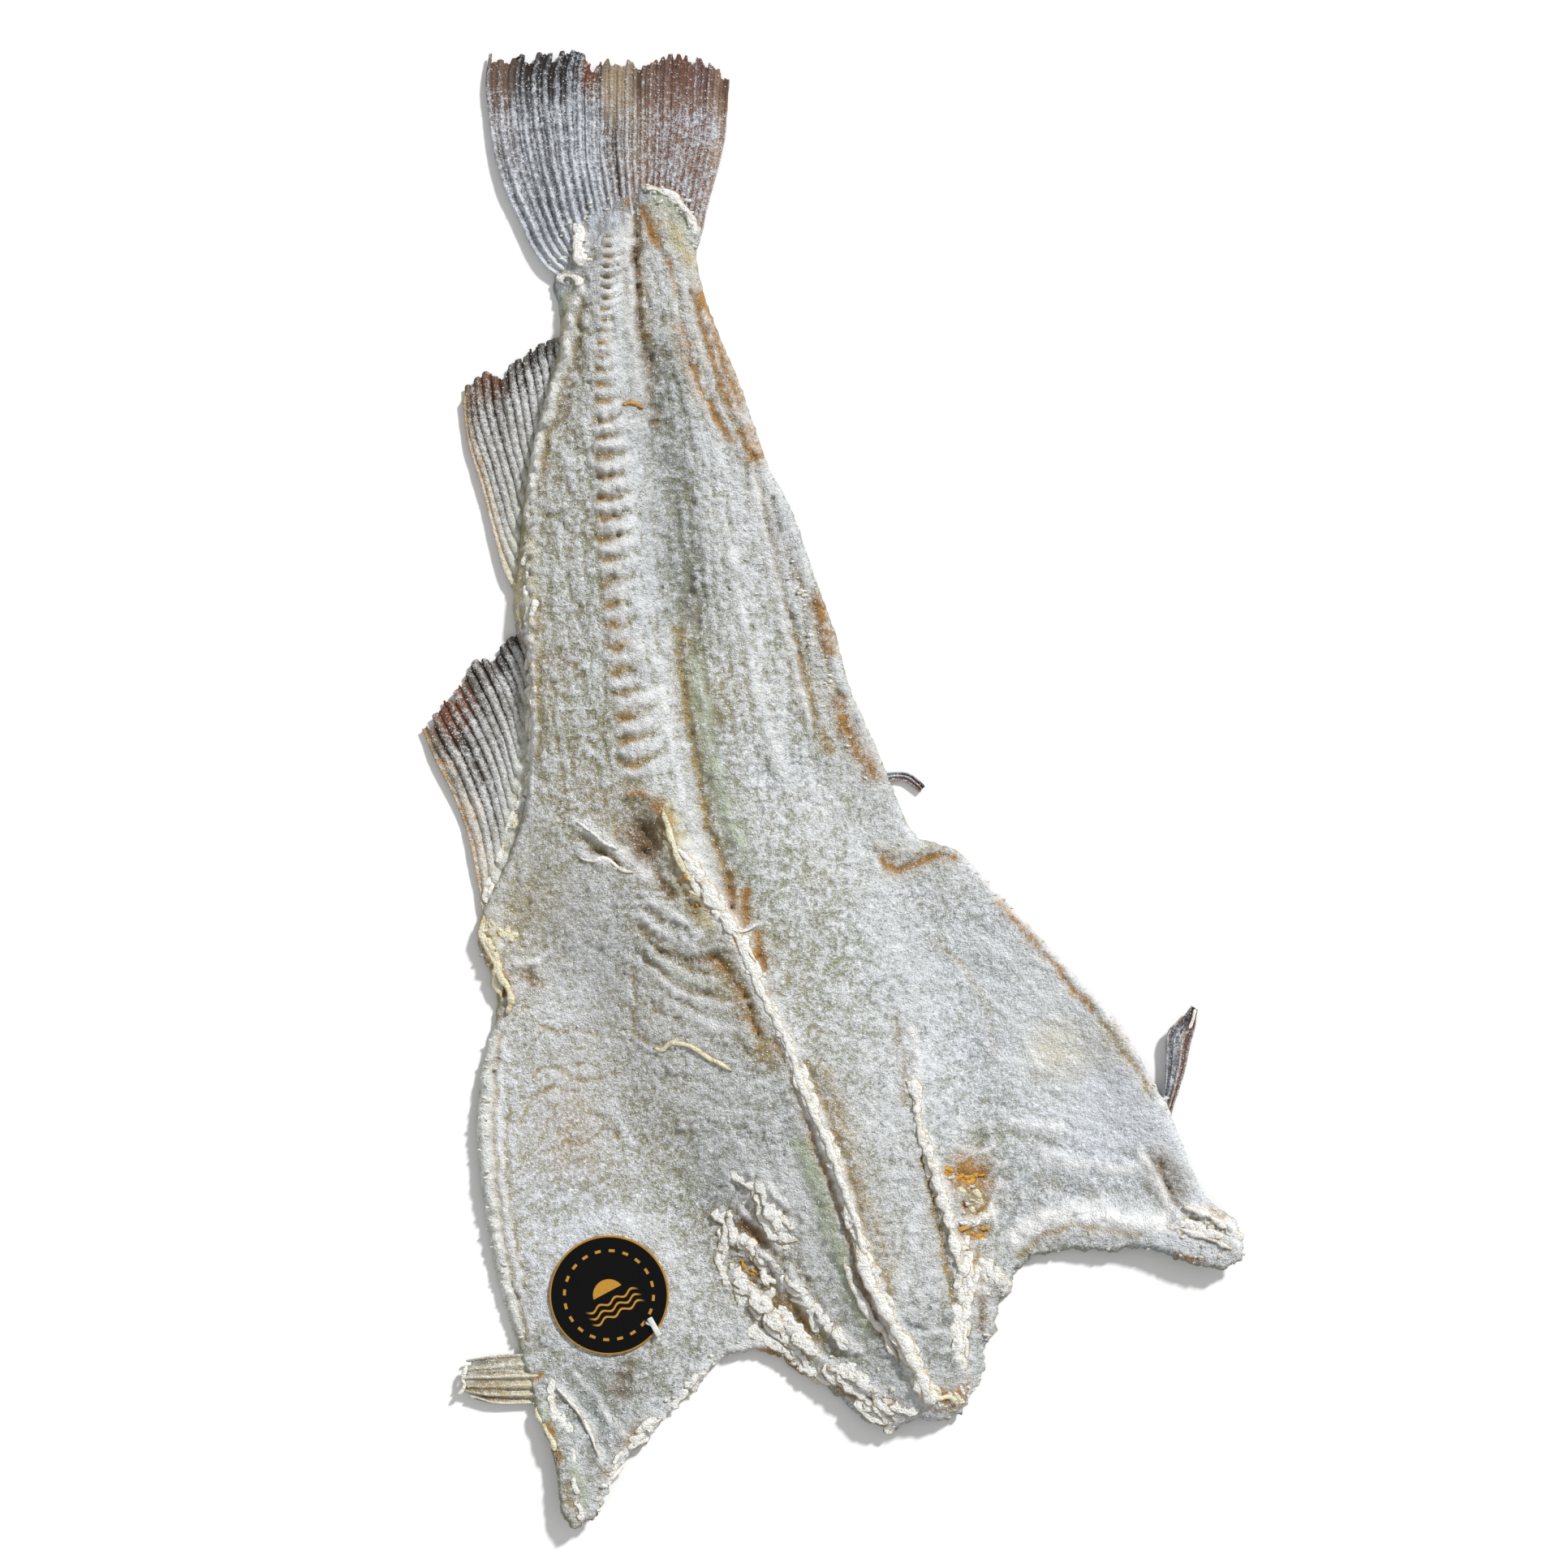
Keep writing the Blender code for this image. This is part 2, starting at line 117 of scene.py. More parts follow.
class Finish:
    def __init__(self, name, roughness=0.8, metallic=0.0, specular=0.35):
        self.material = bpy.data.materials.new(name)
        self.material.use_nodes = True
        self.tree = self.material.node_tree
        self.shader = self.tree.nodes["Principled BSDF"]
        self.shader.inputs["Roughness"].default_value = roughness
        self.shader.inputs["Metallic"].default_value = metallic
        self.shader.inputs["Specular IOR Level"].default_value = specular
        self.place = self.node("ShaderNodeTexCoord", output="Object")

    def node(self, kind, settings=None, inputs=None, output=0):
        made = self.tree.nodes.new(kind)
        for name, value in (settings or {}).items():
            setattr(made, name, value)
        for name, value in (inputs or {}).items():
            feed(self.tree, made.inputs[name], value)
        return Wire(self.tree, made.outputs[output])

    def mark(self, name):
        return self.node("ShaderNodeAttribute", {"attribute_name": name}, output="Fac")

    def noise(self, size, detail=3.0, rough=0.55, stretch=(1.0, 1.0, 1.0), turn=0.0):
        at = self.node("ShaderNodeMapping", inputs={
            "Vector": self.place, "Rotation": (0.0, 0.0, math.radians(turn)),
            "Scale": tuple(share / (size * mm) for share in stretch)})
        return self.node("ShaderNodeTexNoise", inputs={
            "Vector": at, "Scale": 1.0, "Detail": detail, "Roughness": rough}, output="Fac")

    def grains(self, size, output="Distance"):
        at = self.node("ShaderNodeMapping", inputs={
            "Vector": self.place, "Scale": (1 / (size * mm),) * 3})
        return self.node("ShaderNodeTexVoronoi", inputs={
            "Vector": at, "Scale": 1.0}, output=output)

    def blend(self, share, first, second):
        made = self.tree.nodes.new("ShaderNodeMix")
        made.data_type = "RGBA"
        for index, value in ((0, share), (6, first), (7, second)):
            feed(self.tree, made.inputs[index], value)
        return Wire(self.tree, made.outputs[2])

    def bump(self, height, depth, strength=1.0):
        made = self.node("ShaderNodeBump", inputs={
            "Height": height, "Distance": depth * mm, "Strength": strength}, output="Normal")
        feed(self.tree, self.shader.inputs["Normal"], made)

    def paint(self, colour, roughness=None):
        feed(self.tree, self.shader.inputs["Base Color"], colour)
        if roughness is not None:
            feed(self.tree, self.shader.inputs["Roughness"], roughness)
        return self.material


# Number fields over the fish, all in millimetres

def perlin(points, size, seed):
    turns = np.random.default_rng(seed).uniform(0.0, 2 * math.pi, (256, 256))
    place = points / size
    cell = np.floor(place).astype(int)
    part = place - cell
    fade = part ** 3 * (part * (part * 6 - 15) + 10)

    def corner(right, up):
        angle = turns[(cell[..., 0] + right) % 256, (cell[..., 1] + up) % 256]
        return np.cos(angle) * (part[..., 0] - right) + np.sin(angle) * (part[..., 1] - up)

    low = corner(0, 0) + fade[..., 0] * (corner(1, 0) - corner(0, 0))
    high = corner(0, 1) + fade[..., 0] * (corner(1, 1) - corner(0, 1))
    return 1.4 * (low + fade[..., 1] * (high - low))


def turned(points, degrees, stretch=(1.0, 1.0)):
    angle = math.radians(degrees)
    along = points[..., 0] * math.cos(angle) + points[..., 1] * math.sin(angle)
    across = points[..., 1] * math.cos(angle) - points[..., 0] * math.sin(angle)
    return np.stack([along / stretch[0], across / stretch[1]], axis=-1)


def ease(value):
    value = np.clip(value, 0.0, 1.0)
    return value * value * (3.0 - 2.0 * value)


def bell(distance, width):
    return np.exp(-(distance / width) ** 2)


def softSpot(points, x, y, length, width, turn=0.0):
    local = turned(points - np.array([x, y]), turn, (length, width))
    return np.exp(-(local ** 2).sum(-1))


def smoothPath(points, count):
    knots = np.array(points, float)
    ends = np.vstack([2 * knots[0] - knots[1], knots, 2 * knots[-1] - knots[-2]])
    fine = []
    for index in range(len(knots) - 1):
        before, start, stop, after = ends[index:index + 4]
        for t in np.arange(12) / 12:
            fine.append(0.5 * (2 * start + (stop - before) * t
                               + (2 * before - 5 * start + 4 * stop - after) * t ** 2
                               + (3 * start - before - 3 * stop + after) * t ** 3))
    fine = np.array(fine + [knots[-1]])
    lengths = np.concatenate([[0.0], np.cumsum(np.linalg.norm(np.diff(fine, axis=0), axis=1))])
    wanted = np.linspace(0.0, lengths[-1], count)
    return np.column_stack([np.interp(wanted, lengths, column) for column in fine.T])


def alongPath(points, path):
    # how far from the path, on which side, at what share of its length, and that length
    starts, runs = path[:-1], path[1:] - path[:-1]
    spans = np.linalg.norm(runs, axis=1)
    reached = np.concatenate([[0.0], np.cumsum(spans)])
    fromStart = points[:, None, :] - starts
    share = np.clip((fromStart * runs).sum(-1) / spans ** 2, 0.0, 1.0)
    gap = fromStart - share[..., None] * runs
    distance = np.linalg.norm(gap, axis=-1)
    nearest = distance.argmin(1)
    pick = np.arange(len(points))
    side = runs[nearest, 0] * gap[pick, nearest, 1] - runs[nearest, 1] * gap[pick, nearest, 0]
    along = reached[nearest] + share[pick, nearest] * spans[nearest]
    return distance[pick, nearest], np.sign(side), along / reached[-1], reached[-1]


def insidePolygon(points, polygon):
    x, y = points[..., 0], points[..., 1]
    inside = np.zeros(x.shape, bool)
    for (x1, y1), (x2, y2) in zip(polygon, polygon[1:] + polygon[:1]):
        crossing = (y1 > y) != (y2 > y)
        inside ^= crossing & (x < (x2 - x1) * (y - y1) / (y2 - y1 + 1e-9) + x1)
    return inside


def blur(field, mask, radius):
    # soft average over a lattice, only from where the mask is
    reach = int(math.ceil(2.5 * radius))
    weights = np.exp(-(np.arange(-reach, reach + 1) / radius) ** 2)

    def spread(values):
        for axis in (0, 1):
            total = np.zeros_like(values)
            for shift, weight in zip(range(-reach, reach + 1), weights):
                total += weight * np.roll(values, shift, axis)
            values = total
        return values

    return spread(np.where(mask, field, 0.0)) / np.maximum(spread(mask.astype(float)), 1e-6)


# Meshes as rows of numbers, and edit mode

def readPoints(piece):
    flat = np.empty(3 * len(piece.data.vertices))
    piece.data.vertices.foreach_get("co", flat)
    return flat.reshape(-1, 3) / mm


def writePoints(piece, points):
    piece.data.vertices.foreach_set("co", (points * mm).ravel())
    piece.data.update()


def readMark(piece, name):
    values = np.empty(len(piece.data.vertices), np.float32)
    piece.data.attributes[name].data.foreach_get("value", values)
    return values.astype(float)


def writeMarks(piece, **marks):
    for name, values in marks.items():
        if name not in piece.data.attributes:
            piece.data.attributes.new(name, "FLOAT", "POINT")
        held = np.broadcast_to(np.asarray(values, np.float32), (len(piece.data.vertices),))
        piece.data.attributes[name].data.foreach_set("value", np.ascontiguousarray(held))


def select(*pieces):
    bpy.ops.object.select_all(action="DESELECT")
    for piece in pieces:
        piece.select_set(True)
    bpy.context.view_layer.objects.active = pieces[0]


def inEditMode(piece, *steps):
    select(piece)
    bpy.ops.object.mode_set(mode="EDIT")
    for step in steps:
        step()
    bpy.ops.object.mode_set(mode="OBJECT")


def keepPoints(piece, keep):
    mesh = piece.data
    bpy.context.tool_settings.mesh_select_mode = (True, False, False)
    mesh.polygons.foreach_set("select", np.zeros(len(mesh.polygons), bool))
    mesh.edges.foreach_set("select", np.zeros(len(mesh.edges), bool))
    mesh.vertices.foreach_set("select", ~keep)
    inEditMode(piece, lambda: bpy.ops.mesh.delete(type="VERT"))


def addGrid(name, columns, rows):
    # a flat grid with its vertices' places as whole numbers of columns and rows
    bpy.ops.object.select_all(action="DESELECT")
    bpy.ops.mesh.primitive_grid_add(x_subdivisions=columns, y_subdivisions=rows, size=1.0)
    piece = bpy.context.object
    piece.name = piece.data.name = name
    share = readPoints(piece)[:, :2] * mm + 0.5
    return piece, np.rint(share * (columns, rows)).astype(int)


def applyModifier(piece, kind, **settings):
    select(piece)
    added = piece.modifiers.new(kind.title(), kind)
    for name, value in settings.items():
        setattr(added, name, value)
    bpy.ops.object.modifier_apply(modifier=added.name)


def finishPiece(piece, material, slot, *replaced):
    piece.data.materials.clear()
    piece.data.materials.append(material)
    piece.data.shade_smooth()
    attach(piece, "root")
    if replaced:
        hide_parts(*replaced)
    print(piece.name, len(piece.data.polygons), "faces")


# The cod's solid, read by straight rays

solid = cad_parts["cod"]
solidTree = BVHTree.FromPolygons([tuple(v.co) for v in solid.data.vertices],
                                 [tuple(p.vertices) for p in solid.data.polygons])
rayStart = 0.2


def readSolid(points):
    # top and underside heights of the solid at each point, nan outside it
    top = np.full(len(points), np.nan)
    low = np.full(len(points), np.nan)
    down, up = Vector((0, 0, -1)), Vector((0, 0, 1))
    for index, (x, y) in enumerate((points * mm).tolist()):
        hit = solidTree.ray_cast(Vector((x, y, rayStart)), down)[0]
        if hit is not None:
            top[index] = hit.z / mm
            under = solidTree.ray_cast(Vector((x, y, -rayStart)), up)[0]
            low[index] = under.z / mm if under is not None else 0.0
    return top, low


# Where the fins leave the body
finAreas = [
    [(-200, 241), (-131, 241), (-124, 253), (-122, 266), (-112, 274), (-98, 281), (-88, 286),
     (-77, 284), (-68, 276), (-62, 266), (-40, 262), (-40, 400), (-200, 400)],
    [(-200, 230), (-130, 214), (-128, 209), (-131, 200), (-137, 178), (-142, 158), (-146, 130),
     (-149, 98), (-200, 96)],
    [(-200, 80), (-150, 74), (-143, 66), (-142, 30), (-143, 0), (-147, -18), (-153, -35),
     (-162, -52), (-166, -62), (-200, -60)],
    [(-200, -262), (-148, -266), (-143, -280), (-139, -295), (-200, -300)],
    [(200, -90), (150, -90), (153, -139), (160, -152), (163, -160), (200, -150)],
    [(60, 20), (24, 14), (27, 6), (32, -6), (60, -10)],
]


def onBody(points):
    keep = ~np.isnan(readSolid(points)[0])
    for area in finAreas:
        keep &= ~insidePolygon(points, area)
    return keep


# Marks on the flesh side: shape, width, rise, tint, amount and path.
# A shape is a ridge, a groove, a fold that is steep on its right, or a flat stain.
tailMarks = [
    ("ridge", 2.6, 1.8, "milk", 0.9, [(-122, 270), (-119, 262), (-118, 252), (-117, 244)]),
    ("ridge", 1.4, 1.2, "milk", 0.8, [(-129, 241), (-124, 242), (-119, 239), (-117, 232)]),
    ("ridge", 3.6, 0.8, "green", 0.7, [(-125, 237), (-125, 225)]),
    ("groove", 1.6, 1.0, "amber", 0.9, [(-129, 267), (-126, 262)]),
    ("groove", 1.4, 0.9, "amber", 0.8, [(-130, 253), (-128, 246)]),
    ("ridge", 1.8, 1.4, "milk", 0.6, [(-88, 285), (-80, 283), (-72, 278), (-66, 270), (-63, 260)]),
    ("ridge", 3.0, 0.5, "green", 0.7, [(-84, 280), (-76, 276), (-70, 268), (-66, 258)]),
    ("ridge", 3.2, 0.7, "cream", 0.9, [(-80, 273), (-74, 264), (-69, 254), (-65, 244)]),
    ("groove", 1.9, 1.7, "amber", 1.0, [(-98, 279), (-94, 276)]),
    ("groove", 1.7, 1.2, "amber", 1.0, [(-90, 277), (-87, 271), (-84, 262), (-82, 254)]),
    ("groove", 0.9, 0.5, "amber", 0.6, [(-77, 252), (-75, 240), (-73, 230)]),
    ("groove", 2.0, 2.6, "brown", 0.8, [(-94, 276), (-92, 266), (-92, 245), (-90, 222), (-88, 208)]),
    ("ridge", 1.4, 1.0, "milk", 0.5, [(-96, 272), (-95, 250), (-94, 225), (-92, 205), (-89, 185)]),
    ("groove", 2.6, 1.2, "brown", 0.35, [(-88, 210), (-86, 190), (-82, 168)]),
    # The slate tint along this trough is painted shade on its slope away from the key light.
    ("groove", 12.0, 3.4, "slateStainAndShade", 0.42, [(-84, 215), (-80, 172), (-75, 130), (-71, 100), (-68, 70)]),
    ("ridge", 15.0, 1.6, "milk", 0.0, [(-55, 205), (-48, 160), (-40, 110), (-34, 60), (-24, 10)]),
    ("stain", 3.4, 0.0, "amber", 1.1, [(-62, 235), (-57, 218), (-54, 205), (-50, 192), (-44, 178)]),
    ("stain", 3.0, 0.0, "amber", 1.2, [(-42, 172), (-38, 163), (-35, 154)]),
    ("groove", 1.8, 0.8, "amber", 1.0, [(-72, 220), (-66, 200), (-60, 185), (-52, 172), (-45, 163)]),
    ("groove", 0.9, 0.5, "ochre", 0.7, [(-66, 236), (-60, 215), (-56, 198), (-50, 182), (-42, 165)]),
    ("ridge", 1.0, 0.7, "milk", 0.5, [(-69, 238), (-63, 215), (-58, 196), (-51, 178), (-43, 160)]),
    ("ridge", 1.0, 0.7, "milk", 0.5, [(-60, 226), (-55, 208), (-49, 190), (-41, 172), (-35, 158)]),
    ("ridge", 1.2, 0.6, "milk", 0.4, [(-76, 236), (-71, 215), (-66, 195), (-58, 175), (-50, 160)]),
    ("ridge", 0.9, 0.9, "amber", 0.6, [(-98, 180), (-93, 181), (-88, 179)]),
    ("ridge", 3.2, 2.0, "cream", 0.5, [(-121, 236), (-124, 218), (-126, 202), (-132, 186), (-137, 170),
                                       (-141, 150), (-142, 130), (-141, 98), (-140, 64), (-141, 30)]),
    ("ridge", 1.6, 1.2, "milk", 0.8, [(-120, 236), (-123, 216), (-126, 200), (-134, 178), (-140, 152),
                                      (-141, 120)]),
    ("groove", 1.6, 1.0, "ochre", 0.4, [(-117, 228), (-120, 206), (-126, 184), (-133, 166), (-136, 146)]),
    ("groove", 2.2, 0.8, "brown", 0.18, [(-118, 232), (-117, 215), (-120, 195), (-126, 170)]),
]

middleMarks = [
    ("stain", 3.0, 0.0, "cream", 0.7, [(-150, 112), (-148, 95), (-147, 78)]),
    ("ridge", 1.9, 1.0, "milk", 0.7, [(-141, 88), (-142, 66), (-141, 40), (-141, 16), (-142, -4)]),
    ("groove", 1.3, 0.8, "ochre", 0.7, [(-138, 90), (-138, 68), (-137, 40), (-138, 12)]),
    ("groove", 1.5, 1.6, "ochre", 0.9, [(-72, 76), (-71, 60), (-68, 40), (-63, 10), (-60, -5), (-57, -20),
                                         (-52, -32), (-46, -58)]),
    ("ridge", 3.2, 1.0, "green", 0.8, [(-66, 62), (-61, 40), (-57, 18), (-52, 0), (-47, -18), (-40, -32)]),
    ("ridge", 1.6, 0.7, "milk", 0.5, [(-80, 60), (-77, 30), (-72, 5), (-66, -14)]),
    ("ridge", 1.5, 0.7, "milk", 0.55, [(-38, 150), (-33, 128), (-29, 108), (-22, 80), (-16, 55), (-10, 30)]),
    ("groove", 1.2, 0.5, "ochre", 0.4, [(-35, 148), (-29, 122), (-22, 92), (-14, 62), (-6, 32)]),
    ("groove", 1.6, 0.5, "ochre", 0.4, [(-20, 110), (-10, 86), (-3, 62), (4, 40), (14, 18)]),
    ("ridge", 2.6, 0.8, "milk", 0.3, [(-48, 120), (-42, 85), (-34, 45), (-22, 5)]),
    ("ridge", 2.4, 1.3, "milk", 0.7, [(-122, -14), (-110, -22), (-100, -29), (-92, -36), (-85, -43)]),
    ("groove", 1.6, 0.9, "ochre", 0.5, [(-118, -22), (-108, -30), (-98, -37)]),
    ("ridge", 1.3, 1.2, "milk", 0.8, [(-118, -30), (-111, -34), (-104, -35)]),
    ("groove", 1.4, 1.3, "brown", 0.5, [(-113, -28), (-106, -31), (-100, -36)]),
    ("stain", 6.5, 0.0, "brown", 1.2, [(-89, -14), (-88, -22), (-85, -34)]),
    ("groove", 6.0, 3.0, "brown", 0.9, [(-89, -13), (-88, -24), (-85, -36)]),
    ("groove", 2.0, 1.2, "brown", 0.7, [(-83, -38), (-78, -46), (-72, -53)]),
    ("ridge", 1.6, 1.2, "amber", 0.7, [(-96, -4), (-91, -2), (-85, -4)]),
    ("ridge", 4.6, 1.4, "cream", 1.3, [(-80, -8), (-75, -22), (-69, -36), (-62, -52), (-55, -66)]),
    ("groove", 1.9, 1.2, "amber", 1.4, [(-68, -40), (-66, -43)]),
    ("groove", 2.0, 1.2, "amber", 1.4, [(-63, -52), (-61, -57)]),
    ("stain", 2.6, 0.0, "amber", 0.8, [(-84, -6), (-79, -12), (-77, -20)]),
    ("stain", 2.4, 0.0, "amber", 0.9, [(-7, 94), (-4, 78), (1, 62)]),
    ("stain", 2.6, 0.0, "amber", 0.9, [(3, 43), (8, 28), (14, 16), (23, 5)]),
    ("stain", 2.4, 0.0, "ochre", 0.8, [(-18, 75), (-12, 52), (-6, 30), (1, 15)]),
    ("stain", 3.0, 0.0, "ochre", 0.6, [(-98, -17), (-102, -22), (-98, -30)]),
    ("groove", 1.0, 0.9, "ochre", 0.8, [(-79, -20), (-74, -30), (-70, -46), (-62, -60)]),
    ("groove", 1.8, 1.4, "amber", 0.8, [(22, -32), (30, -38), (40, -36), (50, -32), (60, -33)]),
    ("ridge", 1.5, 1.0, "ochre", 0.5, [(20, -26), (30, -31), (42, -30), (52, -27)]),
]

spineMarks = [
    ("ridge", 4.2, 1.8, "milk", 1.0, [(-73, -27), (-66, -33), (-58, -46), (-50, -60), (-42, -74)]),
    ("ridge", 2.6, 2.2, "milk", 1.0, [(-44, -70), (-38, -84), (-32, -97), (-22, -115), (-15, -138),
                                       (-5, -160), (3, -180), (12, -205), (19, -230)]),
    ("ridge", 3.0, 2.0, "milk", 1.0, [(18, -226), (24, -242), (32, -255), (39, -271), (46, -286)]),
    ("ridge", 1.3, 1.0, "milk", 0.8, [(-45, -66), (-38, -66), (-32, -63)]),
    ("groove", 2.6, 1.6, "amber", 1.5, [(-45, -70), (-41, -73)]),
    ("groove", 1.8, 1.2, "amber", 1.4, [(-36, -76), (-34, -81)]),
    ("groove", 1.2, 1.0, "amber", 0.9, [(-31, -94), (-29, -98)]),
    ("groove", 1.5, 1.2, "amber", 1.2, [(-47, -40), (-47, -50), (-45, -61)]),
    ("groove", 1.5, 1.2, "amber", 1.2, [(-40, -46), (-41, -55), (-40, -66)]),
    ("groove", 1.4, 1.2, "amber", 1.1, [(-34, -66), (-34, -76), (-31, -86)]),
    ("stain", 4.5, 0.0, "ochre", 0.8, [(-58, -80), (-50, -84), (-43, -95), (-38, -108), (-33, -118), (-29, -130)]),
    ("groove", 1.6, 1.5, "amber", 0.6, [(-60, -79), (-50, -83), (-42, -95), (-37, -108), (-33, -117)]),
    ("groove", 1.5, 1.4, "amber", 0.55, [(-27, -118), (-20, -130), (-12, -152), (-5, -173), (4, -197),
                                          (12, -223), (19, -243), (25, -258)]),
    ("ridge", 3.4, 0.8, "green", 1.3, [(-16, -162), (-9, -180), (-2, -200), (5, -222), (12, -242), (20, -256)]),
    ("stain", 4.0, 0.0, "ochre", 0.5, [(-4, -130), (4, -154), (12, -180), (20, -206), (28, -232)]),
    ("groove", 1.8, 1.1, "ochre", 0.8, [(-12, -126), (-6, -142), (3, -165), (12, -192), (19, -216), (29, -238)]),
    ("groove", 1.4, 1.2, "brown", 0.6, [(-79, -77), (-68, -80), (-58, -80), (-49, -77)]),
    ("ridge", 2.0, 1.2, "milk", 0.4, [(-88, -50), (-80, -56), (-70, -62), (-60, -70)]),
    ("ridge", 2.0, 1.1, "milk", 0.4, [(-92, -58), (-82, -66), (-70, -72), (-62, -76)]),
    ("ridge", 2.2, 1.0, "green", 0.4, [(-90, -70), (-78, -84), (-62, -92), (-50, -92)]),
    ("ridge", 2.0, 0.9, "milk", 0.3, [(-86, -84), (-74, -94), (-60, -101), (-46, -102)]),
    ("ridge", 2.0, 0.8, "milk", 0.3, [(-82, -96), (-70, -105), (-55, -112), (-40, -114)]),
    ("groove", 1.2, 0.8, "ochre", 0.5, [(-91, -64), (-80, -76), (-68, -84), (-52, -87)]),
    ("groove", 1.2, 0.7, "ochre", 0.4, [(-88, -78), (-76, -90), (-62, -97), (-46, -98)]),
    ("groove", 1.0, 0.6, "ochre", 0.4, [(-94, -84), (-92, -100), (-94, -120)]),
    ("groove", 1.2, 0.7, "ochre", 0.4, [(-106, -111), (-96, -114), (-85, -120)]),
]

neckMarks = [
    ("fold", 2.4, 1.8, "milk", 0.9, [(-42, -181), (-34, -184), (-26, -192), (-20, -198)]),
    ("fold", 2.2, 1.6, "milk", 0.9, [(-36, -194), (-28, -202), (-21, -210)]),
    ("stain", 6.0, 0.0, "amber", 0.9, [(-45, -204), (-37, -209), (-29, -217)]),
    ("groove", 3.0, 1.5, "brown", 0.85, [(-45, -205), (-37, -208), (-29, -216)]),
    ("groove", 2.4, 1.2, "brown", 0.8, [(-40, -220), (-33, -224), (-26, -231)]),
    ("stain", 5.5, 0.0, "ochre", 1.1, [(-42, -228), (-32, -238), (-20, -250)]),
    ("stain", 5.0, 0.0, "ochre", 0.9, [(-24, -236), (-14, -250), (-2, -262)]),
    ("stain", 3.0, 0.0, "amber", 0.9, [(-34, -264), (-24, -268), (-12, -274)]),
    ("stain", 3.0, 0.0, "amber", 0.8, [(48, -284), (58, -288), (64, -280)]),
    ("stain", 2.6, 0.0, "amber", 0.8, [(62, -212), (68, -224), (70, -240)]),
    ("ridge", 1.6, 1.2, "milk", 0.8, [(-44, -198), (-38, -202), (-30, -208), (-24, -218)]),
    ("ridge", 1.8, 1.4, "milk", 0.9, [(-44, -214), (-36, -216), (-28, -224), (-22, -236)]),
    ("ridge", 1.8, 1.3, "milk", 0.9, [(-46, -230), (-38, -236), (-30, -246), (-20, -256)]),
    ("ridge", 2.4, 1.6, "milk", 0.9, [(-22, -224), (-14, -238), (-6, -250), (4, -258), (14, -266)]),
    ("groove", 1.5, 1.4, "amber", 0.7, [(-43, -232), (-34, -236), (-27, -240)]),
    ("groove", 1.3, 1.3, "amber", 0.7, [(-19, -239), (-16, -246), (-12, -253)]),
    ("ridge", 1.6, 1.3, "milk", 0.9, [(-34, -240), (-28, -250), (-18, -258), (-6, -264)]),
    ("groove", 1.2, 0.9, "amber", 0.8, [(-33, -266), (-27, -268)]),
    ("groove", 1.2, 0.9, "amber", 0.8, [(-16, -270), (-11, -274)]),
    ("ridge", 2.6, 1.2, "milk", 0.8, [(-12, -262), (0, -272), (12, -280), (24, -286)]),
    ("groove", 1.2, 1.3, "brown", 0.7, [(-1, -277), (8, -283), (20, -288), (32, -288)]),
    ("stain", 2.0, 0.0, "amber", 0.8, [(4, -282), (14, -287), (24, -290), (32, -290)]),
    ("stain", 26.0, 0.0, "slateStainAndShade", 0.3, [(-130, -272), (-112, -296), (-116, -330)]),
    ("stain", 20.0, 0.0, "slateStainAndShade", 0.7, [(44, -260), (56, -262), (68, -264)]),
    ("groove", 1.2, 0.9, "slateStainAndShade", 0.8, [(32, -249), (39, -252), (46, -254), (58, -250)]),
    ("ridge", 1.3, 0.9, "milk", 0.5, [(48, -262), (58, -266), (66, -276)]),
    ("ridge", 1.2, 0.8, "milk", 0.5, [(60, -252), (62, -262), (68, -272)]),
    ("ridge", 2.2, 1.6, "milk", 1.0, [(40, -150), (42, -160), (47, -172), (54, -194), (59, -218), (61, -232)]),
    ("groove", 1.3, 1.4, "ochre", 0.9, [(43, -172), (47, -190), (53, -220), (58, -244)]),
    ("ridge", 1.5, 1.0, "milk", 0.7, [(38, -112), (41, -128), (40, -146)]),
    ("groove", 1.2, 0.6, "ochre", 0.4, [(31, -108), (34, -130), (34, -150)]),
    ("ridge", 3.0, 1.2, "milk", 0.7, [(62, -222), (68, -232), (74, -240)]),
    ("groove", 1.2, 1.1, "brown", 0.6, [(71, -232), (71, -246), (70, -258)]),
    ("ridge", 2.2, 0.8, "milk", 0.6, [(45, -254), (56, -258), (64, -270)]),
    ("ridge", 2.4, 1.3, "milk", 0.9, [(70, -226), (78, -232), (85, -236)]),
    ("stain", 6.0, 0.0, "amber", 1.3, [(56, -181), (66, -183), (72, -188)]),
    ("stain", 4.5, 0.0, "amber", 0.9, [(62, -207), (68, -212)]),
    ("groove", 2.4, 1.5, "amber", 1.0, [(58, -182), (66, -184), (73, -183)]),
    ("ridge", 1.6, 1.2, "cream", 0.8, [(60, -190), (67, -188), (73, -191)]),
    ("stain", 4.4, 0.0, "cream", 1.0, [(64, -193), (70, -197), (68, -201)]),
    ("groove", 1.3, 1.5, "amber", 1.0, [(62, -194), (64, -199), (69, -201), (73, -196), (71, -192)]),
    ("ridge", 1.4, 1.1, "milk", 0.8, [(58, -204), (66, -205), (74, -203)]),
    ("groove", 2.0, 1.3, "amber", 0.9, [(60, -209), (68, -211), (74, -208)]),
    ("groove", 4.0, 1.4, "brown", 0.12, [(68, -158), (70, -168), (68, -176)]),
    ("ridge", 0.9, 0.9, "milk", 0.6, [(60, -156), (66, -160), (76, -158)]),
    ("ridge", 0.9, 0.9, "milk", 0.6, [(61, -170), (70, -172), (78, -168)]),
    ("ridge", 1.0, 1.0, "milk", 0.6, [(80, -184), (76, -196), (78, -208)]),
]

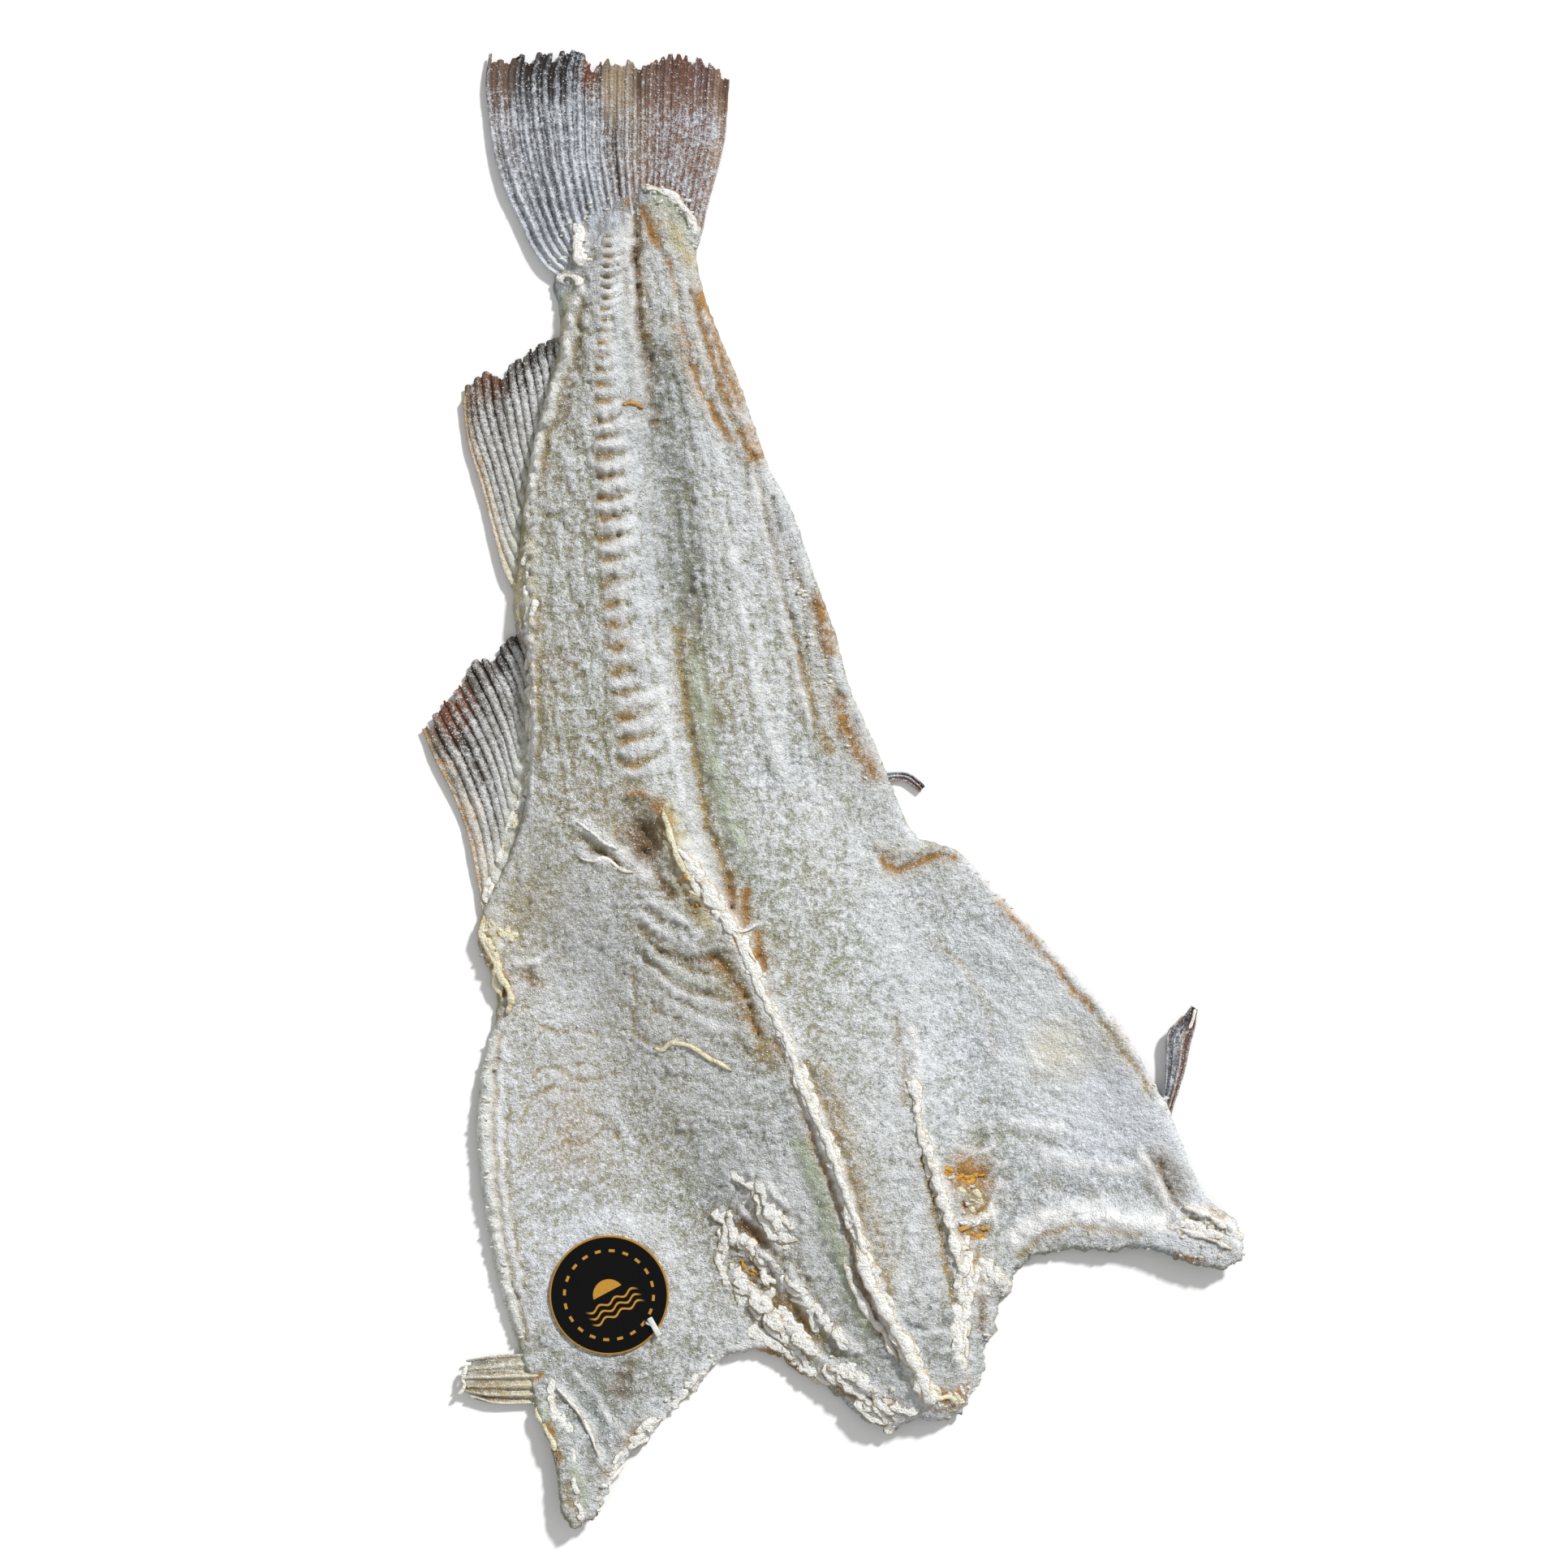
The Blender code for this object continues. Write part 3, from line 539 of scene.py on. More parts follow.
leftFlapMarks = [
    ("ridge", 2.6, 1.6, "cream", 0.7, [(-163, -66), (-158, -74), (-160, -84), (-154, -94)]),
    ("ridge", 1.8, 1.6, "amber", 0.5, [(-165, -80), (-158, -84), (-152, -92), (-150, -102)]),
    ("groove", 1.2, 1.3, "amber", 0.9, [(-162, -76), (-157, -86), (-153, -98)]),
    ("ridge", 1.4, 1.1, "milk", 0.6, [(-150, -83), (-140, -82), (-131, -77)]),
    ("groove", 3.0, 1.3, "brown", 0.55, [(-146, -86), (-141, -90), (-138, -95)]),
    ("ridge", 3.0, 1.1, "green", 0.7, [(-160, -112), (-163, -140), (-163, -172), (-160, -202),
                                       (-154, -234), (-146, -260)]),
    ("groove", 0.9, 1.1, "ochre", 0.75, [(-156, -115), (-159, -140), (-159, -172), (-156, -202),
                                         (-150, -234), (-143, -262)]),
    ("ridge", 1.0, 0.6, "milk", 0.5, [(-154, -118), (-156, -142), (-156, -172), (-153, -204),
                                      (-147, -234), (-141, -258)]),
    ("groove", 0.7, 0.6, "ochre", 0.5, [(-152, -150), (-153, -176), (-150, -204), (-144, -236)]),
    ("groove", 1.1, 0.6, "ochre", 0.4, [(-130, -162), (-122, -168), (-114, -166), (-107, -160)]),
    ("groove", 1.0, 0.5, "ochre", 0.4, [(-134, -128), (-124, -136), (-112, -138), (-100, -134)]),
    ("stain", 24.0, 0.0, "ochre", 0.32, [(-136, -118), (-122, -128), (-108, -132)]),
    ("stain", 20.0, 0.0, "ochre", 0.42, [(-132, -152), (-118, -148), (-106, -142)]),
    ("stain", 14.0, 0.0, "amber", 0.4, [(-132, -168), (-120, -172)]),
    ("stain", 26.0, 0.0, "ochre", 0.45, [(-156, -62), (-148, -66), (-138, -70)]),
    ("stain", 24.0, 0.0, "cream", 0.4, [(-150, -48), (-144, -60)]),
    # Painted light on a pale rim: this milk strip lifts the left edge, which faces away from the key light.
    ("stain", 4.5, 0.0, "milk", 0.6, [(-161, -112), (-163, -140), (-163, -172), (-160, -202),
                                      (-154, -234), (-147, -258)]),
    ("groove", 1.2, 0.8, "ochre", 0.5, [(-142, -136), (-136, -132), (-126, -134), (-118, -130)]),
    ("groove", 1.2, 0.8, "ochre", 0.5, [(-138, -112), (-128, -116), (-118, -114), (-108, -118)]),
    ("groove", 1.2, 0.7, "ochre", 0.4, [(-146, -160), (-142, -148), (-132, -142), (-122, -144)]),
    ("groove", 1.3, 0.8, "ochre", 0.45, [(-116, -152), (-106, -158), (-98, -168)]),
    ("groove", 4.0, 1.3, "brown", 0.4, [(-96, -270), (-98, -280), (-100, -290)]),
    ("ridge", 3.4, 0.9, "green", 0.9, [(-138, -292), (-135, -302), (-131, -310)]),
    ("groove", 1.0, 0.9, "amber", 0.8, [(-134, -299), (-131, -308), (-127, -320)]),
    ("groove", 1.1, 0.8, "amber", 0.8, [(-144, -276), (-141, -280), (-136, -277)]),
    ("ridge", 1.5, 0.9, "milk", 0.6, [(-130, -282), (-120, -292), (-112, -304), (-108, -318)]),
    ("ridge", 1.3, 0.8, "milk", 0.5, [(-122, -276), (-112, -286), (-104, -298), (-98, -306)]),
    ("ridge", 2.4, 0.8, "green", 0.7, [(-122, -318), (-118, -328), (-117, -338)]),
    ("groove", 1.0, 0.7, "ochre", 0.6, [(-126, -326), (-122, -338), (-119, -346)]),
    ("stain", 2.4, 0.0, "amber", 0.6, [(-86, -303), (-92, -307), (-97, -312)]),
    ("stain", 1.8, 0.0, "amber", 0.6, [(-103, -321), (-106, -327)]),
    ("ridge", 2.2, 0.9, "milk", 0.8, [(-106, -336), (-101, -322), (-92, -310), (-80, -299), (-68, -288)]),
    ("ridge", 2.0, 0.8, "milk", 0.6, [(-66, -283), (-55, -272), (-44, -264), (-30, -262)]),
]

rightFlapMarks = [
    ("ridge", 3.2, 1.0, "milk", 0.5, [(66, -37), (84, -53), (102, -71), (120, -91), (138, -112), (152, -134),
                                      (163, -156)]),
    ("groove", 1.2, 1.0, "amber", 0.85, [(78, -52), (88, -64), (98, -75), (112, -91), (125, -107)]),
    ("groove", 1.2, 0.9, "ochre", 0.8, [(126, -108), (136, -122), (145, -133), (152, -148)]),
    ("stain", 6.0, 0.0, "ochre", 0.55, [(128, -110), (136, -119), (143, -129)]),
    ("stain", 15.0, 0.0, "cream", 0.4, [(98, -108), (106, -124), (108, -142)]),
    ("ridge", 2.2, 0.6, "milk", 0.5, [(80, -155), (94, -160), (112, -160)]),
    ("ridge", 2.6, 0.6, "milk", 0.5, [(98, -172), (116, -178), (134, -181), (147, -179)]),
    ("groove", 2.2, 0.5, "brown", 0.12, [(84, -164), (98, -167), (116, -168)]),
    ("groove", 2.4, 0.5, "brown", 0.12, [(96, -186), (116, -191), (136, -190)]),
    ("ridge", 4.2, 1.4, "milk", 0.9, [(84, -216), (98, -205), (112, -200), (126, -201), (142, -205), (164, -202)]),
    ("groove", 1.6, 0.8, "ochre", 0.7, [(88, -222), (100, -211), (114, -207), (128, -208), (146, -211)]),
    ("groove", 5.5, 1.5, "brown", 0.42, [(153, -172), (158, -184), (162, -195)]),
    ("groove", 1.1, 1.0, "brown", 0.7, [(150, -172), (156, -182), (164, -198)]),
    ("ridge", 1.8, 1.0, "milk", 0.7, [(146, -170), (152, -182), (158, -194), (164, -203)]),
    ("ridge", 1.6, 1.2, "milk", 0.9, [(168, -196), (176, -200), (184, -204), (191, -210)]),
    ("ridge", 1.6, 1.2, "milk", 0.9, [(166, -206), (176, -209), (186, -213), (192, -218)]),
    ("groove", 1.1, 1.2, "amber", 0.9, [(178, -198), (182, -201), (187, -203)]),
    ("groove", 1.1, 1.2, "amber", 0.9, [(168, -203), (172, -207), (177, -210)]),
    ("groove", 1.0, 1.0, "amber", 0.9, [(161, -219), (168, -221), (176, -223)]),
    ("ridge", 1.0, 0.4, "milk", 0.3, [(62, -66), (80, -78), (96, -94), (110, -112)]),
    ("ridge", 1.0, 0.4, "milk", 0.3, [(60, -88), (76, -100), (92, -118), (100, -140)]),
    ("groove", 1.4, 0.4, "ochre", 0.3, [(48, -70), (62, -84), (74, -104), (78, -128)]),
]

tints = ("ochre", "amber", "brown", "cream", "green", "milk", "slateStainAndShade")


def addMarks(points, height, coats, marks):
    # the paths wander a little and swell and thin, so that nothing looks ruled
    wander = np.stack([perlin(points, 9.0, 11), perlin(points, 9.0, 12)], axis=-1)
    wander += 0.5 * np.stack([perlin(points, 3.5, 13), perlin(points, 3.5, 14)], axis=-1)
    bent = points + 1.3 * wander
    rough = 0.9 * perlin(points, 5.0, 15) + 0.7 * perlin(points, 2.6, 16)
    blotted = 0.8 * perlin(points, 8.0, 18) + 0.8 * perlin(points, 3.4, 19)
    for shape, width, rise, tint, amount, path in marks:
        knots = np.array(path, float)
        reach = 4.0 * width + 3.0
        near = np.all((points > knots.min(0) - reach) & (points < knots.max(0) + reach), axis=1)
        if not near.any():
            continue
        line = smoothPath(path, max(6, 4 * len(path)))
        calm = min(1.0, 3.5 / width)
        beads, blots = 0.95 + calm * rough, 1.0 + calm * blotted
        distance, side, share, length = alongPath(bent[near], line)
        taper = np.clip(np.minimum(share, 1.0 - share) * length / (1.3 * width) + 0.3, 0.0, 1.0)
        body = bell(distance, width) * taper
        if shape == "ridge":
            height[near] += flesh["markRise"] * rise * body * beads[near]
        elif shape == "groove":
            height[near] -= flesh["markRise"] * rise * body * beads[near]
        elif shape == "fold":
            lip = np.where(side > 0, np.exp(-distance / (2.2 * width)), bell(distance, 0.8))
            height[near] += flesh["markRise"] * rise * lip * taper * beads[near]
        coat = bell(distance, 1.15 * width) * taper * np.clip(blots[near], 0.1, 1.3)
        coats[tint][near] = np.maximum(coats[tint][near], amount * coat)
        if tint in ("ochre", "amber", "brown"):
            halo = 0.42 * amount * bell(distance, 2.2 * width + 1.2) * taper * np.clip(blots[near], 0.0, 1.5)
            coats["ochre"][near] = np.maximum(coats["ochre"][near], halo)


backbone = {
    "path": [(-103, 264), (-104, 220), (-105, 192), (-102, 150), (-99, 100), (-95, 65), (-91, 35),
             (-87, 12), (-86, 2)],
    "pitch": [(0.0, 4.4), (0.2, 5.6), (0.35, 9.0), (1.0, 11.5)],
    "width": [(0.0, 4.2), (0.2, 5.6), (0.5, 9.5), (1.0, 11.5)],
    "rise": 3.2,
}


def addBackbone(points, height, coats):
    line = smoothPath(backbone["path"], 60)
    knots = np.array(backbone["path"], float)
    near = np.all((points > knots.min(0) - 18) & (points < knots.max(0) + 18), axis=1)
    spots = points[near]
    spots = spots + 0.7 * np.stack([perlin(spots, 7.0, 21), perlin(spots, 6.0, 22)], axis=-1)
    distance, side, share, length = alongPath(spots, line)
    across = distance * side
    fine = np.linspace(0.0, 1.0, 400)
    pitch = np.interp(fine, *zip(*backbone["pitch"]))
    phase = np.concatenate([[0.0], np.cumsum(length / 399 / pitch[:-1])])
    half = np.interp(share, *zip(*backbone["width"]))
    # each bone bows towards the tail at its middle, leans, and is worn away on its right
    place = np.interp(share, fine, phase) + 0.22 * (across / half) ** 2 + 0.16 * across / half
    place = place + 0.16 * perlin(spots, 11.0, 23) + 0.10 * perlin(spots, 5.0, 24)
    bone = np.floor(place)
    place = place - bone
    uneven = 0.75 + 0.4 * np.sin(bone * 12.9898) + 0.5 * perlin(spots, 8.0, 25)
    crest = ease(place / 0.42) * ease((1.0 - place) / 0.5)
    box = ease((half - distance) / (0.5 * half) + 0.3) * ease(share / 0.02) * ease((1.0 - share) / 0.03)
    box *= 0.45 + 0.55 * ease(0.75 - 0.5 * across / half)
    height[near] += backbone["rise"] * uneven * (crest - 0.35) * box
    # Between the bones: ochre stain with painted shade, heavier on the side away from the key light.
    gap = (1.0 - crest) * box * ease(0.45 - 0.7 * across / half) * (0.8 + 0.6 * perlin(spots, 5.0, 26))
    coats["ochre"][near] = np.maximum(coats["ochre"][near], 1.05 * gap)
    coats["amber"][near] = np.maximum(coats["amber"][near], 0.45 * gap)
    coats["milk"][near] = np.maximum(coats["milk"][near], 0.5 * crest * box * uneven)


flesh = {
    "spacing": 1.25, "floorSpacing": 2.7, "smoothing": 5.0,
    "undulation": 0.6, "lumps": 0.5, "streaks": 1.0, "grain": 0.95, "wrinkles": 0.6,
    "edgeRound": 2.2, "edgeHeight": 1.2, "keyLightFrom": 52.0, "markRise": 1.1,
    "tailEnd": [(-134, 232), (-130, 246), (-124, 262), (-112, 274), (-98, 281), (-88, 286)],
    "rim": [(0.3, 0.5), (0.15, 0.12), (-0.8, 0.0)],
    "neckCut": [(-121, -350), (-110, -343), (-103, -328), (-94, -313), (-78, -295), (-50, -268),
                (-21, -270), (0, -284), (31, -303), (57, -299), (72, -270), (78, -245), (90, -225),
                (130, -219), (194, -222)],
}


# Where the salt lies thinner, or thicker if below nought: amount, then x, y, length, width and turn
thinSalt = [
    (0.35, (-10, -70, 70, 28, 110)), (0.2, (-138, -130, 60, 22, 95)), (0.40, (-112, -292, 45, 22, 60)),
    (0.5, (-66, 75, 60, 9, 103)), (0.3, (-52, 10, 60, 9, 105)), (-0.7, (34, -290, 32, 14, 0)),
    (-0.4, (-32, -190, 16, 12, -50)), (-0.6, (4, -222, 55, 12, -63)), (0.35, (56, -262, 18, 16, 0)),
    (-0.35, (-78, -118, 36, 30, 0)), (-0.5, (-118, -78, 40, 20, 90)), (-0.35, (-56, -168, 36, 22, 90)),
    (-0.3, (-42, 148, 70, 12, 110)), (-0.35, (12, 20, 50, 12, 110)), (-0.3, (142, -152, 70, 16, -58)),
    (-0.3, (-148, 40, 90, 12, 90)), (0.2, (-66, -200, 30, 16, 90)), (-0.5, (2, -205, 50, 14, -63)),
    (0.35, (68, -145, 40, 20, -70)), (0.3, (-120, -186, 30, 22, 0)), (0.25, (-8, -40, 60, 14, 110)),
    (0.25, (-42, 60, 40, 16, 100)), (0.25, (70, -238, 20, 16, 0)), (0.2, (122, -182, 30, 22, 0)),
]


def fleshRelief(points, inset):
    height = np.zeros(len(points))
    coats = {name: np.zeros(len(points)) for name in tints}
    undulation = perlin(points, 46.0, 1) + 0.6 * perlin(points, 24.0, 2)
    lumps = perlin(points, 9.0, 3) + 0.7 * perlin(points, 5.0, 4)
    # long streaks run with the fish along the tail, and the flaps wrinkle across
    tailward = ease((points[:, 1] + 60) / 120)
    streaks = perlin(turned(points, 98, (9.0, 1.0)), 2.8, 5)
    streaks += 0.6 * perlin(turned(points, 104, (7.0, 1.0)), 1.9, 6)
    leftFlap = softSpot(points, -128, -175, 95, 34, 96)
    rightFlap = softSpot(points, 112, -140, 80, 42, -52)
    leftWrinkle = perlin(turned(points, 35, (4.5, 1.0)), 2.6, 7)
    rightWrinkle = perlin(turned(points, -22, (5.5, 1.0)), 4.2, 8)
    rightWrinkle += 0.5 * perlin(turned(points, -35, (4.0, 1.0)), 2.4, 9)
    # salt has caked in crumbs, thicker here than there
    caked = 0.75 * perlin(points, 3.6, 10) + 0.9 * perlin(points, 2.4, 17)
    grain = 1.5 * np.maximum(caked, -0.12) - 0.2
    grain *= 0.55 + 0.75 * ease(0.5 + 0.9 * perlin(points, 17.0, 44))
    smooth = np.clip(leftFlap + 1.1 * rightFlap, 0.0, 1.0)
    height += flesh["undulation"] * undulation * ease(inset / 20)
    height += flesh["lumps"] * lumps * (1.0 - 0.6 * smooth)
    height += flesh["streaks"] * streaks * tailward * (1.0 - 0.4 * smooth)
    height += flesh["wrinkles"] * (leftWrinkle * leftFlap + rightWrinkle * rightFlap)
    height += flesh["grain"] * grain * (1.0 - 0.5 * smooth)
    addBackbone(points, height, coats)
    for marks in (tailMarks, middleMarks, spineMarks, neckMarks, leftFlapMarks, rightFlapMarks):
        addMarks(points, height, coats, marks)
    # the left side and the trough by the backbone are warmer, the flaps cooler and smoother
    warm = 0.45 + 0.35 * perlin(points, 70.0, 41) + 0.3 * perlin(points, 30.0, 42)
    warm += 0.35 * ease((-40 - points[:, 0]) / 60) - 0.2 * ease((points[:, 0] + 20) / 90)
    warm -= 0.7 * rightFlap + 0.25 * leftFlap + 0.6 * softSpot(points, -112, -300, 60, 34, 60)
    coats["warm"] = np.clip(warm, 0.0, 1.0)
    coats["thin"] = sum(amount * softSpot(points, *spot) for amount, spot in thinSalt)
    coats["smooth"] = smooth
    # at the tail the flesh thins out over the roots of the fin
    end = alongPath(points, smoothPath(flesh["tailEnd"], 30))[0] + 2.5 * perlin(points, 7.0, 43)
    coats["finward"] = (1.0 - ease(end / 24.0)) * ease((-84 - points[:, 0]) / 5.0)
    return height, coats


def bodyTrim(mask):
    mask = mask & (blur(mask.astype(float), np.ones_like(mask), 1.2) > 0.42)
    for _ in range(5):
        # whole squares only, and none that hangs by a corner
        square = np.zeros_like(mask)
        square[:-1, :-1] = mask[:-1, :-1] & mask[1:, :-1] & mask[:-1, 1:] & mask[1:, 1:]
        upRight, upLeft = square, np.roll(square, 1, 0)
        downRight, downLeft = np.roll(square, 1, 1), np.roll(upLeft, 1, 1)
        loose = (upRight & downLeft & ~upLeft & ~downRight) | (upLeft & downRight & ~upRight & ~downLeft)
        mask &= (upRight | upLeft | downRight | downLeft) & ~loose
    return mask


def bodyMask(points):
    mask = bodyTrim(onBody(points.reshape(-1, 2)).reshape(points.shape[:2]))
    # only what hangs together with the middle of the fish
    joined = np.zeros_like(mask)
    joined.flat[np.abs(points - np.array([-30.0, -60.0])).sum(-1).argmin()] = True
    while True:
        grown = joined.copy()
        for axis in (0, 1):
            for shift in (1, -1):
                grown |= np.roll(joined, shift, axis) & mask
        if (grown == joined).all():
            return joined
        joined = grown


def treeOf(points):
    tree = KDTree(len(points))
    for index, (x, y) in enumerate(points.tolist()):
        tree.insert((x, y, 0.0), index)
    tree.balance()
    return tree


def nearness(tree, points):
    return np.array([tree.find((x, y, 0.0))[2] for x, y in points.tolist()])


def latticePlaces(places, spacing):
    low = np.array(cadBox[0][:2]) / mm - 3 * spacing
    return low + spacing * places


def makeFleshSheet():
    spacing = flesh["spacing"]
    span = (np.array(cadBox[1][:2]) - np.array(cadBox[0][:2])) / mm
    columns, rows = np.ceil(span / spacing).astype(int) + 6
    piece, places = addGrid("cod_flesh", columns, rows)
    i, j = places.T
    shape = (columns + 1, rows + 1)
    grid = np.zeros((*shape, 2))
    grid[i, j] = latticePlaces(places, spacing)
    mask = bodyMask(grid)
    top, low = (np.nan_to_num(heights).reshape(shape) for heights in readSolid(grid.reshape(-1, 2)))
    step = flesh["smoothing"] / spacing
    top, low = blur(top, mask, step), blur(low, mask, step)
    # the outermost points move out to the true outline
    inner = mask.copy()
    for shift in (1, -1):
        inner &= np.roll(mask, shift, 0) & np.roll(mask, shift, 1)
        inner &= np.roll(np.roll(mask, shift, 0), 1, 1) & np.roll(np.roll(mask, shift, 0), -1, 1)
    edge = mask & ~inner
    soft = blur(mask.astype(float), np.ones_like(mask), 2.0)
    away = -np.stack(np.gradient(soft), axis=-1)
    away /= np.maximum(np.linalg.norm(away, axis=-1, keepdims=True), 1e-9)
    starts, ways = grid[edge], away[edge]
    near, far = np.zeros(len(starts)), np.full(len(starts), 1.6 * spacing)
    for _ in range(7):
        middle = (near + far) / 2
        inside = onBody(starts + middle[:, None] * ways)
        near, far = np.where(inside, middle, near), np.where(inside, far, middle)
    grid[edge] = starts + near[:, None] * ways
    outline = treeOf(grid[edge])
    # numbers for every kept point, in the mesh's own order
    kept = mask[i, j]
    i, j = i[kept], j[kept]
    points, ways = grid[i, j], away[i, j]
    inset = nearness(outline, points)
    relief, coats = fleshRelief(points, inset)
    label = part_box("label")
    labelCentre = (np.array(label[0][:2]) + np.array(label[1][:2])) / 2 / mm
    labelRadius = (label[1][0] - label[0][0]) / 2 / mm
    clear = np.linalg.norm(points - labelCentre, axis=1) - labelRadius
    under = 1.0 - ease(clear / 6.0)
    floor = low[i, j]
    finward = coats["finward"]
    height = top[i, j] * (1.0 - finward) + 4.4 * finward
    height += relief * (1.0 - 0.75 * under) * (1.0 - 0.5 * finward) - 0.25 * under
    height = np.where(clear < 1.5, np.minimum(height, label[0][2] / mm - 0.1), height)
    roll = np.clip(inset / flesh["edgeRound"], 0.0, 1.0)
    arch = 0.3 + 0.7 * np.sqrt(1.0 - (1.0 - roll) ** 2)
    base = floor + flesh["edgeHeight"]
    height = np.minimum(base + np.maximum(height - base, 0.3) * arch, cadBox[1][2] / mm - 0.3)
    field = np.zeros(shape)
    field[i, j] = height
    # painted shade: how far each point lies below its surroundings, which later thins the salt cover so recesses
    # show darker
    hollow = blur(field, mask, 3.4 / spacing) - field
    hollow += 0.5 * (blur(field, mask, 7.0 / spacing) - field)
    coats["hollow"] = np.clip(0.5 + 0.4 * hollow[i, j], 0.0, 1.0)
    # painted shade: slopes that face away from the key light hold less salt cover, so the darker bare flesh shows
    # there
    rise = np.stack(np.gradient(blur(field, mask, 1.6 / spacing), spacing), axis=-1)
    keyLightAngle = math.radians(flesh["keyLightFrom"])
    shadedSlope = rise @ np.array([math.cos(keyLightAngle), math.sin(keyLightAngle)])
    coats["shadedSlope"] = np.clip(0.5 + 1.1 * shadedSlope[i, j], 0.0, 1.0)
    # ragged outline, most of all along the neck cut
    ragged = 0.5 * perlin(points, 4.0, 31) + 0.3 * perlin(points, 2.1, 32)
    neck = smoothPath(flesh["neckCut"], 60)
    ragged *= 1.0 + 2.0 * bell(alongPath(points, neck)[0], 9.0)
    points = points + (ragged * bell(inset, 1.6))[:, None] * ways
    keepPoints(piece, kept)
    writePoints(piece, np.column_stack([points, height]))
    writeMarks(piece, **coats, awayX=ways[:, 0], awayY=ways[:, 1], under=floor, skin=0.0,
               flatX=points[:, 0], flatY=points[:, 1])
    print("flesh top", len(points), "points")
    return piece, outline, low


def addRim(piece):
    # the border is drawn out and down in rings, to the underside
    for number, (outwards, level) in enumerate(flesh["rim"], start=1):
        bpy.context.tool_settings.mesh_select_mode = (False, True, False)
        inEditMode(piece, lambda: bpy.ops.mesh.select_all(action="DESELECT"),
                   lambda: bpy.ops.mesh.select_non_manifold(extend=False, use_wire=False,
                                                            use_multi_face=False,
                                                            use_non_contiguous=False),
                   lambda: bpy.ops.mesh.extrude_edges_move())
        fresh = np.empty(len(piece.data.vertices), bool)
        piece.data.vertices.foreach_get("select", fresh)
        points = readPoints(piece)
        away = np.column_stack([readMark(piece, "awayX"), readMark(piece, "awayY")])
        floor = readMark(piece, "under")
        if number == 1:
            edgeTop = points[:, 2].copy()
            border = np.column_stack([points[:, :2], edgeTop])
            writeMarks(piece, borderX=points[:, 0], borderY=points[:, 1], borderZ=points[:, 2])
        border = np.column_stack([readMark(piece, "border" + axis) for axis in "XYZ"])
        points[fresh, :2] = border[fresh, :2] + outwards * away[fresh]
        points[fresh, 2] = floor[fresh] + 0.05 + level * (border[fresh, 2] - floor[fresh])
        skin = readMark(piece, "skin")
        skin[fresh] = number / len(flesh["rim"])
        flat = np.column_stack([readMark(piece, "flatX"), readMark(piece, "flatY")])
        flat[fresh] = border[fresh, :2] + 1.3 * number * away[fresh]
        writePoints(piece, points)
        writeMarks(piece, skin=skin, flatX=flat[:, 0], flatY=flat[:, 1])


def addUnderside(piece, outline, low):
    spacing = flesh["floorSpacing"]
    span = (np.array(cadBox[1][:2]) - np.array(cadBox[0][:2])) / mm
    columns, rows = np.ceil(span / spacing).astype(int) + 6
    floor, places = addGrid("cod_floor", columns, rows)
    points = latticePlaces(places, spacing)
    shape = (columns + 1, rows + 1)
    grid = np.zeros((*shape, 2))
    grid[tuple(places.T)] = points
    inside = onBody(grid.reshape(-1, 2))
    inside[inside] = nearness(outline, grid.reshape(-1, 2)[inside]) > 2.6
    inside = bodyTrim(inside.reshape(shape))
    kept = inside[tuple(places.T)]
    points = points[kept]
    cell = np.rint((points - latticePlaces(np.zeros(2), flesh["spacing"])) / flesh["spacing"]).astype(int)
    relief, folded, lines = undersideRelief(points)
    height = low[tuple(cell.T)] + relief
    keepPoints(floor, kept)
    writePoints(floor, np.column_stack([points, height]))
    inEditMode(floor, lambda: bpy.ops.mesh.select_all(action="SELECT"),
               lambda: bpy.ops.mesh.flip_normals())
    writeMarks(floor, skin=1.0, flatX=points[:, 0], flatY=points[:, 1], hollow=0.5, folded=folded,
               sideLine=lines)
    select(piece, floor)
    bpy.ops.object.join()
    bpy.context.tool_settings.mesh_select_mode = (False, True, False)
    inEditMode(piece, lambda: bpy.ops.mesh.select_all(action="DESELECT"),
               lambda: bpy.ops.mesh.select_non_manifold(extend=False, use_wire=False,
                                                        use_multi_face=False,
                                                        use_non_contiguous=False),
               lambda: bpy.ops.mesh.fill(use_beauty=True))
    inEditMode(piece, lambda: bpy.ops.mesh.select_all(action="SELECT"),
               lambda: bpy.ops.mesh.normals_make_consistent(inside=False))


backFins = [[(-22, -150), (-38, -95), (-52, -50)], [(-56, -30), (-72, 40), (-84, 95)],
            [(-86, 112), (-96, 165), (-102, 215)]]
sideLines = [[(35, -200), (10, -110), (-25, 0), (-58, 110), (-84, 230)],
             [(-95, -190), (-98, -100), (-115, 0), (-118, 110), (-110, 230)]]


def undersideRelief(points):
    # the fins along the back lie pressed flat under the fish, beside two faint side lines
    grain = 0.55 + 0.2 * perlin(points, 12.0, 51) + 0.15 * perlin(points, 6.0, 52)
    folded, lines = np.zeros(len(points)), np.zeros(len(points))
    for path in backFins:
        distance, side, share, length = alongPath(points, smoothPath(path, 30))
        lobe = 9.0 * np.sqrt(np.clip(4.0 * share * (1.0 - share), 0.02, 1.0)) - distance
        folded = np.maximum(folded, ease(lobe / 3.0 + 0.5))
    for path in sideLines:
        lines = np.maximum(lines, bell(alongPath(points, smoothPath(path, 40))[0], 2.4))
    return np.maximum(grain - 0.45 * folded - 0.15 * lines, 0.0), folded, lines


